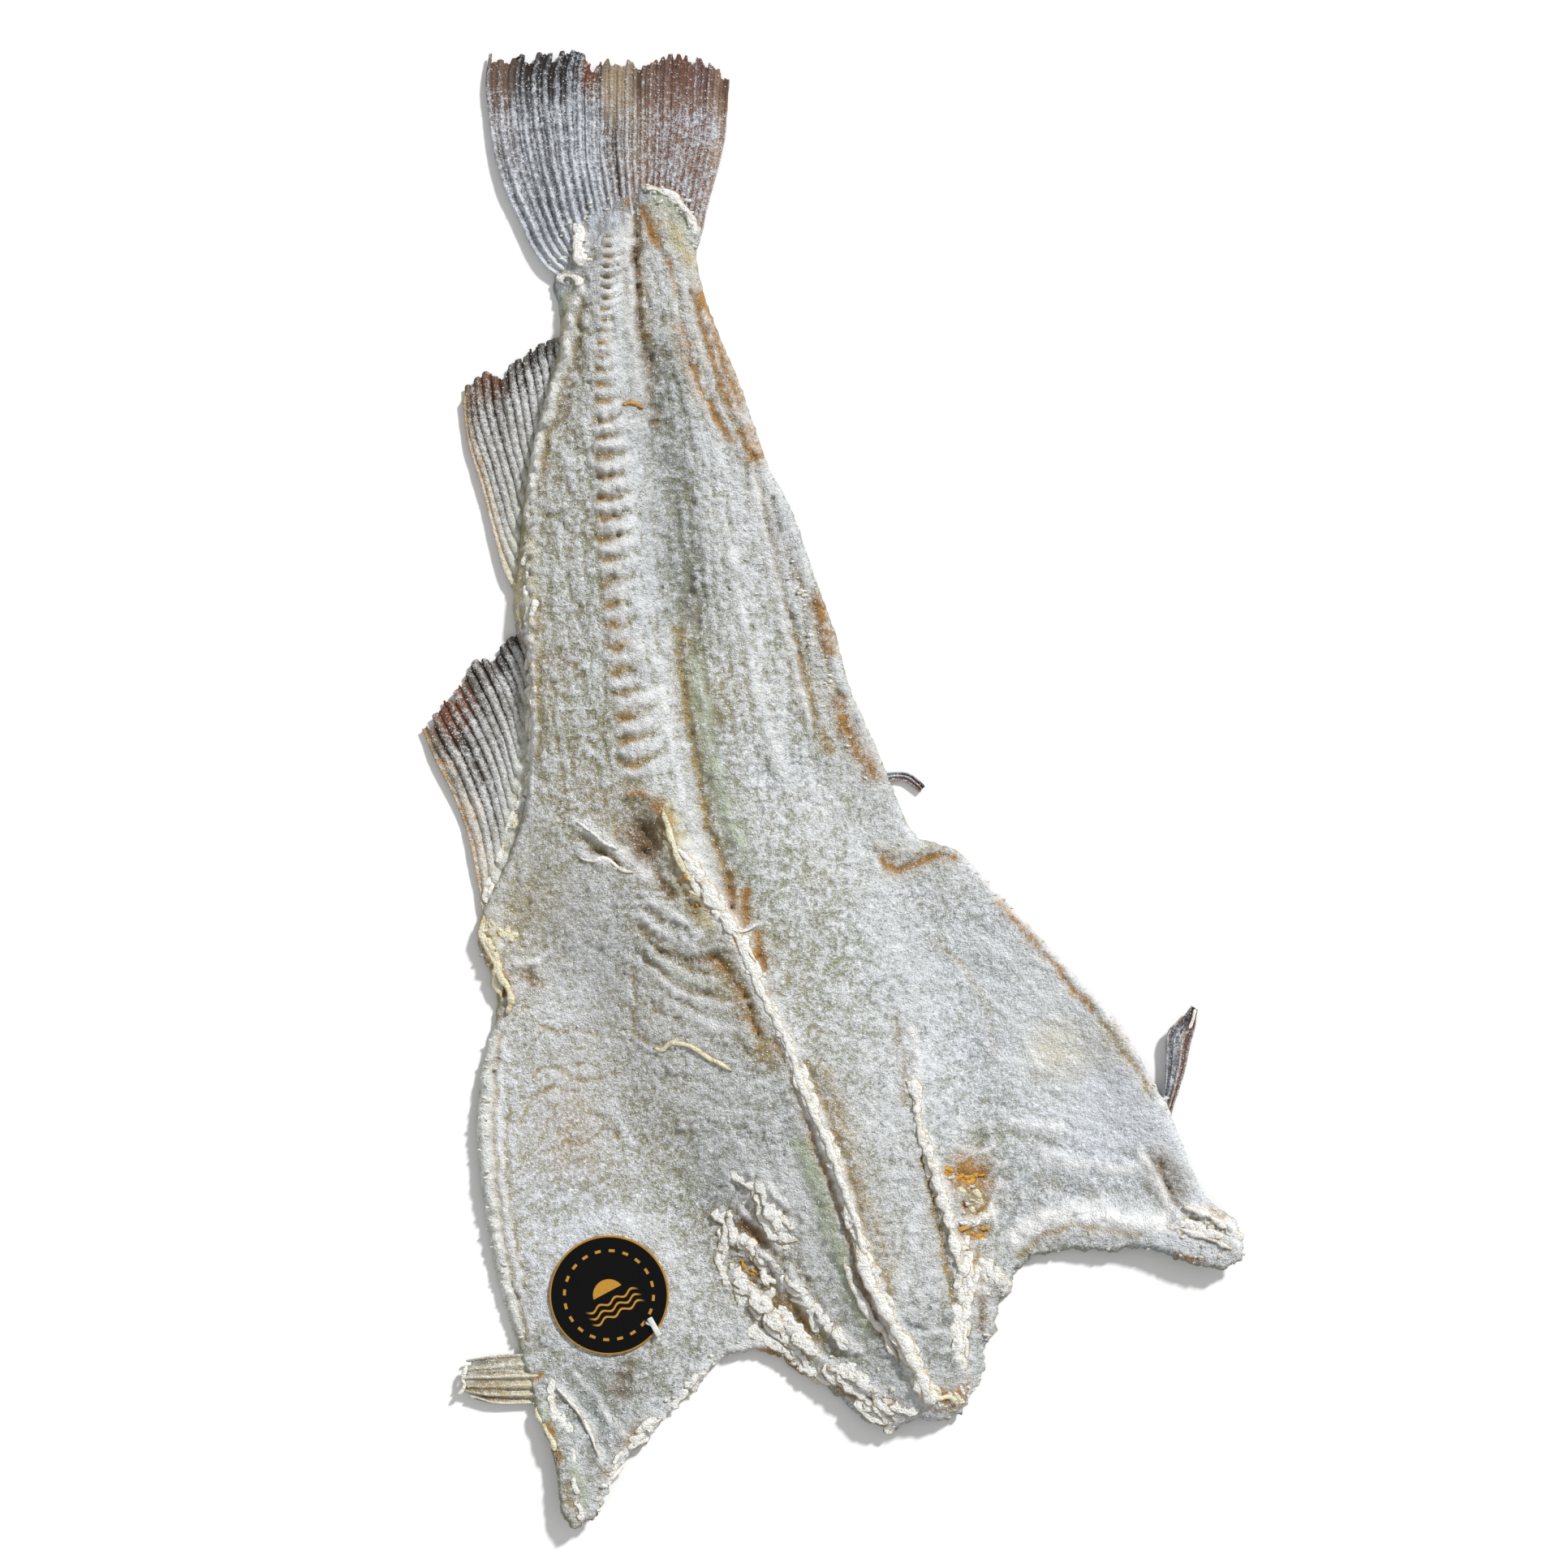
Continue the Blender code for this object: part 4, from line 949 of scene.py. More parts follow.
def fleshFinish():
    made = Finish("salted_flesh", roughness=0.82, specular=0.25)
    fine, small, broad = made.noise(0.8, 3.0, 0.6), made.noise(1.8, 4.0, 0.62), made.noise(26.0, 3.0)
    patch = made.noise(9.0, 4.0, 0.6)
    hollow, warm, smooth, shadedSlope = (made.mark(name) for name in ("hollow", "warm", "smooth", "shadedSlope"))
    speck = fine * 0.45 + small * 0.55
    # bare flesh shows tan, olive or cool grey where the salt is thin
    bare = made.blend((warm + (patch - 0.5) * 1.6).held(), seen(154, 162, 166), seen(175, 158, 116))
    bare = made.blend(((broad + patch - 0.8) * 1.4).held(), bare, seen(158, 166, 136))
    # Painted shade: cover drops in recesses and on slopes facing away from the key light, so the darker bare
    # colour shows there.
    cover = (speck - 0.5) * 5.0 + (0.5 - hollow) * 1.3 + (0.5 - shadedSlope) * 0.8 + (0.5 - patch) * 0.5
    cover = cover + smooth * 0.2 - warm * 0.15 - made.mark("thin") + 0.78
    salt = made.blend(smooth, seen(226, 229, 230), seen(215, 220, 228))
    salt = made.blend(((speck - 0.53) * 7.0).held(), salt, seen(253, 254, 254))
    colour = made.blend(cover.held(), bare, salt)
    broken = (small - 0.5) * 3.4 + (fine - 0.5) * 2.0
    finward = made.mark("finward")
    fibres = made.noise(2.2, 3.0, stretch=(1.0, 0.16, 1.0), turn=-12.0)
    colour = made.blend((finward * 1.5 * (speck + 0.2)).held(), colour,
                        made.blend(fibres.between(0.35, 0.65), seen(134, 130, 134), seen(200, 206, 216)))
    for name, paint in fleshTints.items():
        colour = made.blend((made.mark(name) * (1.1 - broken)).held(), colour, seen(*paint))
    colour = made.blend(made.mark("skin").between(0.72, 0.98), colour, skinColour(made))
    rough = (patch - 0.25).between(0.0, 0.5) * 0.6 + 0.7
    made.bump((fine * 0.6 + small * 0.9) * (1.0 - smooth * 0.45) * rough, 2.5, 1.0)
    return made.paint(colour)


fleshTints = {
    "slateStainAndShade": (138, 144, 144), "green": (188, 197, 174), "cream": (216, 205, 164),
    "ochre": (168, 146, 98), "amber": (176, 132, 76), "brown": (132, 108, 80), "milk": (251, 251, 249),
}


def skinColour(made):
    blotch, scale, spot = made.noise(18.0, 4.0, 0.65), made.noise(2.6, 3.0), made.noise(5.5, 3.0, 0.5)
    rays = made.noise(3.2, 2.0, stretch=(1.0, 0.14, 1.0), turn=-14.0)
    colour = made.blend(blotch.between(0.35, 0.65), seen(98, 92, 78), seen(150, 144, 126))
    colour = made.blend(spot.between(0.52, 0.66) * 0.7, colour, seen(74, 64, 50))
    colour = made.blend(made.mark("folded"), colour, made.blend(rays.between(0.4, 0.6), seen(70, 62, 54),
                                                               seen(128, 122, 110)))
    colour = made.blend(made.mark("sideLine") * 0.8, colour, seen(206, 202, 188))
    return made.blend(scale.between(0.5, 0.72) * 0.65, colour, seen(206, 208, 204))


def makeFlesh():
    piece, outline, low = makeFleshSheet()
    addRim(piece)
    addUnderside(piece, outline, low)
    finishPiece(piece, fleshFinish(), "salted_flesh", "cod")
    return piece


fleshPiece = makeFlesh()


# Fins: sheets stretched between four edges, with a ray every so often

def onPath(path, share):
    fine = smoothPath(path, 240)
    steps = np.linspace(0.0, 1.0, len(fine))
    return np.stack([np.interp(share, steps, column) for column in fine.T], axis=-1)


def stretched(fin, u, v):
    root, tip = onPath(fin["root"], u), onPath(fin["tip"], u)
    left, right = onPath(fin["left"], v), onPath(fin["right"], v)
    (a, b), (c, d) = (np.array(fin[name], float)[[0, -1]] for name in ("root", "tip"))
    u, v = u[:, None], v[:, None]
    corners = (1 - u) * (1 - v) * a + u * (1 - v) * b + (1 - u) * v * c + u * v * d
    return (1 - v) * root + v * tip + (1 - u) * left + u * right - corners


def makeFin(name, fin):
    columns, rows = fin["rays"] * fin["perRay"], fin["rows"]
    piece, places = addGrid(name, columns, rows)
    u, v = places[:, 0] / columns, places[:, 1] / rows
    seed = fin["seed"]
    table = np.random.default_rng(seed).uniform(-1.0, 1.0, (3, 2 * fin["rays"] + 2))
    flat = stretched(fin, u, v)
    phase = (u - fin["crowd"] * np.sin(math.pi * u)) * fin["rays"]
    phase += 0.25 * perlin(flat, 30.0, seed + 1) + 0.07 * perlin(flat, 8.0, seed + 2)
    fork = fin["fork"] * ease((v - 0.30) / 0.3)
    single = 0.5 + 0.5 * np.cos(2 * math.pi * phase)
    double = 0.5 + 0.5 * np.cos(4 * math.pi * phase)
    crest = ((1 - fork) * single + fork * np.maximum(0.75 * double, 0.9 * single)) ** 0.8
    ray = np.clip(np.rint(phase * 2).astype(int), 0, 2 * fin["rays"])
    ribbon = np.column_stack([u, 0.06 * v]) * 100
    # every ray ends at its own length, and the web between them is torn back
    short = fin["ragged"] * np.abs(table[0][ray]) ** 2.2
    short += 0.35 * fin["ragged"] * (1 - crest) * (0.6 + 0.4 * table[1][ray])
    short += fin["ragged"] * 0.5 * (0.5 + 0.5 * perlin(ribbon * (1.0, 0.0), 9.0, seed + 3))
    short = np.maximum(short - 0.1 * fin["ragged"], 0.0)
    reach = v * (1.0 - short * ease(v))
    flat = stretched(fin, u, reach)
    noise = perlin(flat, 26.0, seed + 4) + 0.5 * perlin(flat, 12.0, seed + 5)
    strength = fin["ridge"] * (1.0 + 0.45 * table[2][ray]) * (1.25 - 0.5 * u)
    rise = strength * (crest - 0.5) * ease(v / 0.08 + 0.15)
    rise += fin["pleats"] * perlin(ribbon, 6.0, seed + 8) * ease(v / 0.3 + 0.2)
    rise += 0.14 * perlin(flat, 2.6, seed + 6)
    height = fin["rootHeight"] + (fin["tipHeight"] - fin["rootHeight"]) * v + fin["wave"] * noise + rise
    height += fin["arch"] * np.sin(math.pi * u) * (1 - 0.3 * v)
    height = np.maximum(height, fin["thickness"] + 0.15)
    writePoints(piece, np.column_stack([flat, height]))
    dark = (1 - crest) * (0.35 + 0.65 * ease((v - 0.1) / 0.8)) * (0.75 + 0.35 * table[1][ray])
    # Painted shade: the web darkens in the troughs of the pleats.
    dark += 0.35 * np.clip(-perlin(ribbon, 6.0, seed + 8), 0.0, 1.0)
    dark += 0.25 * ease(np.abs(table[0][ray]) * 1.6 - 0.6) * ease((v - 0.7) / 0.3)
    writeMarks(piece, gap=np.clip(dark, 0, 1), far=v, across=u)
    applyModifier(piece, "SOLIDIFY", thickness=fin["thickness"] * mm, offset=-1.0)
    return piece


def finFinish(name, look):
    made = Finish(name, roughness=0.8, specular=0.3)
    fine, small, broad = made.noise(0.8, 2.0), made.noise(2.2, 3.0), made.noise(14.0, 3.0)
    gap, far, across = made.mark("gap"), made.mark("far"), made.mark("across")
    speck = fine * 0.5 + small * 0.5
    side = (across + (broad - 0.5) * 0.35).between(*look["turn"])
    web = made.blend(side, seen(*look["web"]), seen(*look["farWeb"]))
    ray = made.blend(side, seen(*look["ray"]), seen(*look["farRay"]))
    colour = made.blend((gap * 1.6 + (broad - 0.5) * 0.6).held(), ray, web)
    dim = far.between(look["tipFrom"], 1.02) * (gap + 0.5) * (1.0 - side * 0.6)
    colour = made.blend(dim.held(), colour, seen(*look["tip"]))
    for place, width, reach, shade in look["patches"]:
        patch = (1.0 - (across - place).math("ABSOLUTE").between(width * 0.4, width)) * far.between(*reach)
        colour = made.blend((patch * (gap * 0.5 + broad + 0.1)).held(), colour, seen(*shade))
    colour = made.blend((1.0 - far).between(look["baseFrom"], 1.0), colour, seen(*look["base"]))
    cover = (speck - 0.5) * 4.4 - gap * 0.85 + (broad - 0.5) * 1.2 - far.between(0.7, 1.0) * 0.4
    cover = cover + look["salt"] - side * look["fade"]
    colour = made.blend(cover.held(), colour, seen(*look["saltTone"]))
    made.bump(fine * 0.5 + small * 0.6, 1.8)
    return made.paint(colour)


finLooks = {
    "fin_grey": {"web": (54, 48, 48), "farWeb": (112, 86, 66), "ray": (146, 148, 154),
                 "farRay": (172, 146, 122), "turn": (0.40, 0.72), "tip": (56, 44, 38), "tipFrom": 0.72,
                 "base": (196, 200, 206), "baseFrom": 0.72, "salt": 0.52, "fade": 0.10,
                 "saltTone": (216, 222, 230), "patches": [
                     (0.03, 0.10, (0.3, 0.9), (118, 96, 80)), (0.27, 0.12, (0.72, 0.92), (44, 38, 38)),
                     (0.42, 0.07, (0.78, 0.95), (120, 72, 44)), (0.55, 0.09, (0.55, 0.8), (170, 152, 128)),
                     (0.82, 0.20, (0.05, 0.2), (112, 84, 80)), (0.80, 0.05, (0.75, 0.9), (104, 70, 50))]},
    "fin_warm": {"web": (50, 42, 38), "farWeb": (150, 112, 72), "ray": (156, 152, 142),
                 "farRay": (200, 172, 128), "turn": (0.84, 1.0), "tip": (54, 42, 36), "tipFrom": 0.4,
                 "base": (206, 208, 186), "baseFrom": 0.62, "salt": 0.56, "fade": 0.1,
                 "saltTone": (216, 218, 218), "patches": [
                     (0.75, 0.2, (0.75, 0.95), (116, 72, 48)), (0.25, 0.15, (0.6, 0.9), (70, 66, 66))]},
    "fin_cream": {"web": (84, 68, 48), "farWeb": (76, 66, 52), "ray": (206, 194, 160),
                  "farRay": (190, 184, 160), "turn": (0.3, 0.9), "tip": (210, 210, 206), "tipFrom": 0.7,
                  "base": (210, 198, 158), "baseFrom": 0.8, "salt": 0.34, "fade": 0.0,
                  "saltTone": (230, 230, 226), "patches": [
                     (0.3, 0.2, (0.2, 0.5), (150, 128, 92))]},
}


tailFin = {
    "left": [(-124, 240), (-134, 246), (-141, 256), (-148, 271), (-157, 293), (-163, 330), (-161, 349)],
    "right": [(-70, 246), (-63, 257), (-57, 279), (-51, 302), (-49, 322), (-48, 339)],
    "root": [(-124, 240), (-110, 256), (-90, 262), (-70, 246)],
    "tip": [(-161, 349), (-140, 349), (-118, 349), (-112, 342), (-104, 347), (-90, 344), (-76, 348),
            (-64, 347), (-55, 343), (-48, 339)],
    "rays": 28, "perRay": 8, "rows": 110, "fork": 0.9, "ragged": 0.045, "ridge": 1.6, "wave": 0.5,
    "crowd": 0.09, "pleats": 1.3, "arch": 0.0, "rootHeight": 3.4, "tipHeight": 2.6, "thickness": 1.0, "seed": 60,
}
rearAnalFin = {
    "left": [(-122, 214), (-120, 214)],
    "right": [(-138, 92), (-151, 96), (-159, 119), (-165, 142), (-172, 165), (-174, 187)],
    "root": [(-122, 214), (-127, 190), (-133, 160), (-137, 125), (-138, 92)],
    "tip": [(-120, 214), (-133, 213), (-142, 209), (-150, 203), (-158, 199), (-168, 198), (-174, 187)],
    "rays": 15, "perRay": 9, "rows": 60, "fork": 0.0, "ragged": 0.09, "ridge": 1.7, "wave": 0.3,
    "crowd": 0.0, "pleats": 0.5, "arch": 0.0, "rootHeight": 2.8, "tipHeight": 1.8, "thickness": 0.9, "seed": 70,
}
frontAnalFin = {
    "left": [(-139, 76), (-138, 75)],
    "right": [(-146, -52), (-163, -60), (-167, -45), (-171, -25), (-179, -3), (-188, 15), (-194, 29)],
    "root": [(-139, 76), (-139, 40), (-138, 5), (-140, -26), (-146, -52)],
    "tip": [(-138, 75), (-148, 73), (-153, 71), (-158, 66), (-161, 60), (-167, 62), (-181, 46), (-194, 29)],
    "rays": 16, "perRay": 9, "rows": 64, "fork": 0.0, "ragged": 0.08, "ridge": 1.8, "wave": 0.4,
    "crowd": 0.0, "pleats": 0.6, "arch": 0.0, "rootHeight": 2.9, "tipHeight": 1.8, "thickness": 0.9, "seed": 80,
}
leftSideFin = {
    "left": [(-140, -291), (-158, -291), (-171, -287)],
    "right": [(-136, -268), (-157, -268), (-175, -271)],
    "root": [(-140, -291), (-138, -280), (-136, -268)],
    "tip": [(-171, -287), (-176, -282), (-174, -277), (-175, -271)],
    "rays": 5, "perRay": 12, "rows": 44, "fork": 0.4, "ragged": 0.10, "ridge": 2.0, "wave": 0.35,
    "crowd": 0.0, "pleats": 0.4, "arch": 2.2, "rootHeight": 3.2, "tipHeight": 4.2, "thickness": 1.3, "seed": 90,
}
rightSideFin = {
    "left": [(149, -166), (157, -147), (159, -130), (160, -116), (167, -109), (171.5, -103)],
    "right": [(157, -170), (162, -150), (167, -136), (170, -122), (172, -113), (172.5, -104)],
    "root": [(149, -166), (157, -170)],
    "tip": [(171.5, -103), (172.5, -104)],
    "rays": 3, "perRay": 10, "rows": 70, "fork": 0.5, "ragged": 0.02, "ridge": 1.6, "wave": 0.5,
    "crowd": 0.0, "pleats": 0.3, "arch": 0.8, "rootHeight": 4.0, "tipHeight": 5.6, "thickness": 1.1, "seed": 100,
}
looseRay = {
    "left": [(18, 5), (29, 7.4), (37, 6.8), (43, 2.2), (44.2, 0.2)],
    "right": [(17, 1), (29, 3.6), (35, 3.6), (40, 0.4), (42.6, -1.6)],
    "root": [(18, 5), (17, 1)],
    "tip": [(44.2, 0.2), (42.6, -1.6)],
    "rays": 2, "perRay": 10, "rows": 40, "fork": 0.0, "ragged": 0.02, "ridge": 0.8, "wave": 0.2,
    "crowd": 0.0, "pleats": 0.2, "arch": 0.7, "rootHeight": 2.0, "tipHeight": 2.4, "thickness": 1.1, "seed": 110,
}


def makeFins():
    looks = {name: finFinish(name, look) for name, look in finLooks.items()}
    made = []
    for name, fin, look in (("tail_fin", tailFin, "fin_grey"), ("rear_anal_fin", rearAnalFin, "fin_warm"),
                            ("front_anal_fin", frontAnalFin, "fin_warm"),
                            ("left_side_fin", leftSideFin, "fin_cream"),
                            ("right_side_fin", rightSideFin, "fin_grey"), ("loose_ray", looseRay, "fin_grey")):
        made.append(makeFin(name, fin))
        finishPiece(made[-1], looks[look], "salted_flesh")
    return made


finPieces = makeFins()


# Torn threads, folded lips and flakes that stand clear of the flesh.
# Each: width, flatness, lift above the flesh, share of unevenness, and path.
shreds = {
    "cream": [
        (2.4, 0.7, 0.4, 0.3, [(-84, -122), (-80, -123), (-75, -120), (-70, -120), (-65, -122), (-58, -126),
                              (-52, -129), (-46, -132)]),
        (4.6, 0.5, 0.8, 0.6, [(-165, -70), (-160, -76), (-157, -84), (-158, -92), (-155, -99)]),
        (3.8, 0.5, 1.2, 0.6, [(-163, -60), (-164, -70), (-160, -80), (-155, -90), (-151, -100), (-153, -107)]),
        (3.0, 0.7, 0.6, 0.5, [(-79, -10), (-76, -20), (-72, -31), (-68, -40)]),
        (2.6, 0.6, 0.6, 0.6, [(-139, -292), (-137, -299), (-132, -306), (-130, -313)]),
        (2.6, 0.6, 0.8, 0.6, [(45, -282), (50, -286), (56, -286), (60, -290)]),
    ],
    "white": [
        (4.0, 0.4, 0.2, 0.7, [(-129, 239), (-125, 242), (-120, 241), (-117, 236)]),
        (5.0, 0.4, 0.2, 0.8, [(-122, 268), (-119, 262), (-119, 255), (-117, 246)]),
        (3.6, 0.35, 0.2, 0.8, [(-88, 284), (-81, 283), (-74, 279), (-68, 272), (-64, 262)]),
        (2.2, 0.8, 0.6, 0.5, [(-74, -26), (-69, -31), (-64, -37), (-60, -44)]),
        (6.0, 0.4, 0.8, 0.6, [(-70, -30), (-62, -41), (-56, -50), (-50, -58), (-43, -68)]),
        (1.5, 0.8, 1.0, 0.4, [(-52, -60), (-46, -66), (-40, -66), (-34, -63)]),
        (1.6, 0.8, 1.0, 0.4, [(-47, -64), (-44, -70), (-38, -76), (-35, -82)]),
        (4.0, 0.5, 0.9, 0.45, [(-45, -66), (-40, -76), (-36, -87), (-32, -97), (-27, -106), (-22, -116)]),
        (3.4, 0.5, 0.9, 0.45, [(-24, -110), (-18, -124), (-14, -138), (-9, -150), (-3, -163)]),
        (3.6, 0.5, 0.9, 0.45, [(-7, -154), (0, -170), (5, -184), (10, -198), (14, -212), (18, -226)]),
        (5.6, 0.45, 1.1, 0.5, [(12, -214), (19, -232), (26, -246), (33, -257), (39, -269), (46, -286)]),
        (4.0, 0.4, 0.6, 0.5, [(6, -222), (12, -236), (19, -248), (26, -258), (31, -267)]),
        (1.6, 0.7, 0.8, 0.5, [(20, -238), (26, -243), (31, -250)]),
        (1.8, 0.5, 0.4, 0.6, [(-118, -32), (-112, -34), (-106, -33), (-99, -38), (-92, -40)]),
        (1.3, 0.5, 0.4, 0.6, [(-122, -14), (-114, -19), (-107, -25), (-99, -29)]),
        (6.0, 0.4, 0.3, 0.9, [(39, -277), (44, -283), (48, -289)]),
        (4.4, 0.4, 0.6, 0.8, [(36, -137), (41, -143), (40, -152)]),
        (4.4, 0.4, 0.6, 0.8, [(39, -152), (42, -161), (46, -172), (51, -188), (56, -206), (60, -226)]),
        (4.0, 0.4, 0.4, 0.8, [(60, -224), (65, -232), (64, -244), (60, -256)]),
        (3.0, 0.7, 0.5, 0.7, [(166, -197), (173, -199), (180, -203), (187, -207)]),
        (2.6, 0.7, 0.5, 0.7, [(164, -208), (172, -210), (181, -213), (189, -217)]),
        (1.8, 0.7, 0.5, 0.7, [(-129, -283), (-121, -292), (-114, -303), (-109, -316)]),
        (2.2, 0.7, 0.6, 0.8, [(-176, -287), (-173, -283), (-174, -278), (-172, -273)]),
        (1.5, 0.8, 0.8, 0.5, [(169, -114), (171, -109), (172, -104)]),
    ],
    "amber": [
        (2.0, 0.6, 0.1, 0.6, [(-45, -70), (-43, -72), (-41, -73)]),
        (1.6, 0.6, 0.1, 0.6, [(-68, -40), (-67, -43)]),
        (1.4, 0.6, 0.1, 0.6, [(-63, -53), (-62, -56)]),
        (1.6, 0.6, 0.1, 0.6, [(-36, -76), (-35, -80)]),
        (1.5, 0.7, 0.5, 0.5, [(-98, 180), (-93, 181), (-88, 179)]),
    ],
    "crumbSize": (0.9, 2.6), "sides": 8, "step": 1.1, "seed": 130,
}
crumbTrails = [
    (flesh["neckCut"], 2.2, 170),
    ([(-88, 284), (-80, 283), (-72, 277), (-66, 268), (-62, 256)], 1.6, 40),
    ([(-165, -66), (-163, -110), (-165, -160), (-160, -210), (-148, -262)], 1.8, 70),
    ([(66, -37), (102, -71), (138, -112), (163, -156)], 1.8, 50),
    ([(-134, 236), (-124, 262), (-104, 279)], 2.4, 40),
    ([(-24, 120), (-6, 66), (8, 24), (20, 0)], 1.6, 30),
]
crumbPlaces = [(-120, 255, 8, 20), (-34, -225, 18, 14), (30, -286, 34, 9), (72, -230, 12, 8), (-90, -308, 16, 14),
               (180, -206, 14, 10), (-160, -84, 8, 12), (66, -195, 11, 7), (-74, 276, 14, 6)]


# Bands of short flakes: colour, path, spread, how many, the way they lie, and their longest
flakeBands = [
    ("white", [(-42, -183), (-37, -190), (-28, -200), (-22, -210)], 3.0, 9, -42, 25),
    ("white", [(-50, -206), (-51, -218), (-47, -230)], 2.4, 6, -75, 20),
    ("white", [(-40, -212), (-34, -222), (-26, -236)], 3.5, 6, -32, 18),
    ("white", [(-46, -231), (-36, -243), (-24, -253), (-8, -262)], 6.0, 13, -42, 23),
    ("white", [(-20, -226), (-10, -244), (4, -258), (14, -268)], 3.0, 7, -50, 20),
    ("white", [(-14, -270), (4, -282), (22, -291), (34, -288)], 4.4, 18, -28, 21),
    ("cream", [(-10, -276), (10, -288), (24, -290)], 3.0, 6, -28, 10),
    ("cream", [(42, -278), (50, -286), (60, -290)], 3.0, 6, -60, 9),
    ("white", [(42, -280), (52, -288), (62, -284)], 3.0, 7, -60, 10),
    ("white", [(62, -216), (66, -232), (62, -250), (60, -268)], 3.4, 14, -84, 20),
    ("white", [(70, -226), (77, -230), (83, -235)], 3.0, 8, -40, 15),
    ("white", [(-110, -344), (-102, -324), (-90, -308), (-74, -292), (-52, -270)], 2.2, 16, 48, 13),
    ("white", [(160, -206), (176, -208), (191, -213)], 3.0, 9, -12, 14),
    ("white", [(-134, -285), (-128, -300), (-122, -320), (-118, -338)], 4.0, 8, -66, 14),
    ("white", [(-68, -34), (-56, -50), (-44, -68)], 2.0, 14, -56, 12),
    ("white", [(-44, -68), (-22, -116), (-4, -160), (16, -220)], 0.9, 40, -62, 12),
    ("white", [(16, -220), (30, -252), (46, -286)], 2.2, 18, -60, 16),
    ("cream", [(-80, -14), (-74, -28), (-64, -46), (-58, -58)], 1.6, 9, -62, 9),
    ("white", [(38, -136), (42, -162), (52, -192), (60, -224)], 1.2, 16, -70, 12),
    ("white", [(-143, 112), (-142, 60), (-143, 14), (-148, -10), (-158, -34), (-163, -50)], 1.3, 40, 80, 9),
    ("cream", [(-142, 90), (-142, 30), (-148, -12), (-158, -36), (-163, -54)], 1.5, 14, 75, 7),
    ("cream", [(-162, -60), (-157, -66), (-150, -72)], 2.4, 8, -50, 10),
    ("amber", [(57, -182), (66, -184), (73, -183)], 1.6, 7, -8, 9),
    ("cream", [(62, -190), (69, -192), (70, -199), (64, -200)], 1.6, 8, -30, 7),
    ("amber", [(60, -208), (67, -211), (73, -208)], 1.6, 5, 0, 9),
    ("white", [(58, -204), (66, -205), (75, -202)], 1.6, 6, 5, 8),
    ("amber", [(-46, -236), (-38, -226), (-34, -212)], 3.0, 5, -40, 8),
]


def looseFlakes(heightAt):
    rng = np.random.default_rng(shreds["seed"] + 1)
    flakes = {"white": [], "cream": [], "amber": []}
    for colour, path, spread, count, lie, longest in flakeBands:
        line = smoothPath(path, 200)
        for _ in range(count):
            spot = line[rng.integers(200)] + rng.normal(0.0, spread / 1.6, 2)
            turn = math.radians(lie + rng.normal(0.0, 18.0))
            half = 0.5 * longest * rng.uniform(0.5, 1.0)
            along = np.array([math.cos(turn), math.sin(turn)])
            bow = np.array([-along[1], along[0]]) * rng.uniform(-0.3, 0.3) * half
            path = [spot - along * half, spot - 0.3 * along * half + bow,
                    spot + 0.4 * along * half + bow, spot + along * half]
            width = min(half * rng.uniform(0.55, 0.85), 7.5)
            flatness = rng.uniform(0.5, 0.8) / max(width ** 0.8, 1.0)
            lift = rng.uniform(-0.2, 0.25)
            # a flake may hang over the edge by no more than its tip
            if sum(heightAt(*point) is None for point in np.array(path).tolist()) < 2:
                flakes[colour].append((width, flatness, lift, 0.5, path))
    return flakes


def surfaceReader(*pieces):
    depsgraph = bpy.context.evaluated_depsgraph_get()
    trees = [BVHTree.FromObject(piece, depsgraph) for piece in pieces]

    def heightAt(x, y):
        hits = [tree.ray_cast(Vector((x * mm, y * mm, rayStart)), Vector((0, 0, -1)))[0] for tree in trees]
        heights = [hit.z / mm for hit in hits if hit is not None]
        return max(heights) if heights else None
    return heightAt


def shredFinish(name, deep, pale):
    made = Finish(name, roughness=0.8, specular=0.3)
    fine, small = made.noise(0.9, 3.0, 0.6), made.noise(2.4, 4.0, 0.62)
    # Salt on the crown, with painted shade: the deep colour runs down the flanks and underside.
    cover = (fine * 0.4 + small * 0.6 - 0.5) * 4.0 + made.mark("crown") * 2.4 - 1.3
    made.paint(made.blend(cover.held(), seen(*deep), seen(*pale)))
    made.bump(fine * 0.5 + small * 0.9, 2.4)
    return made.material


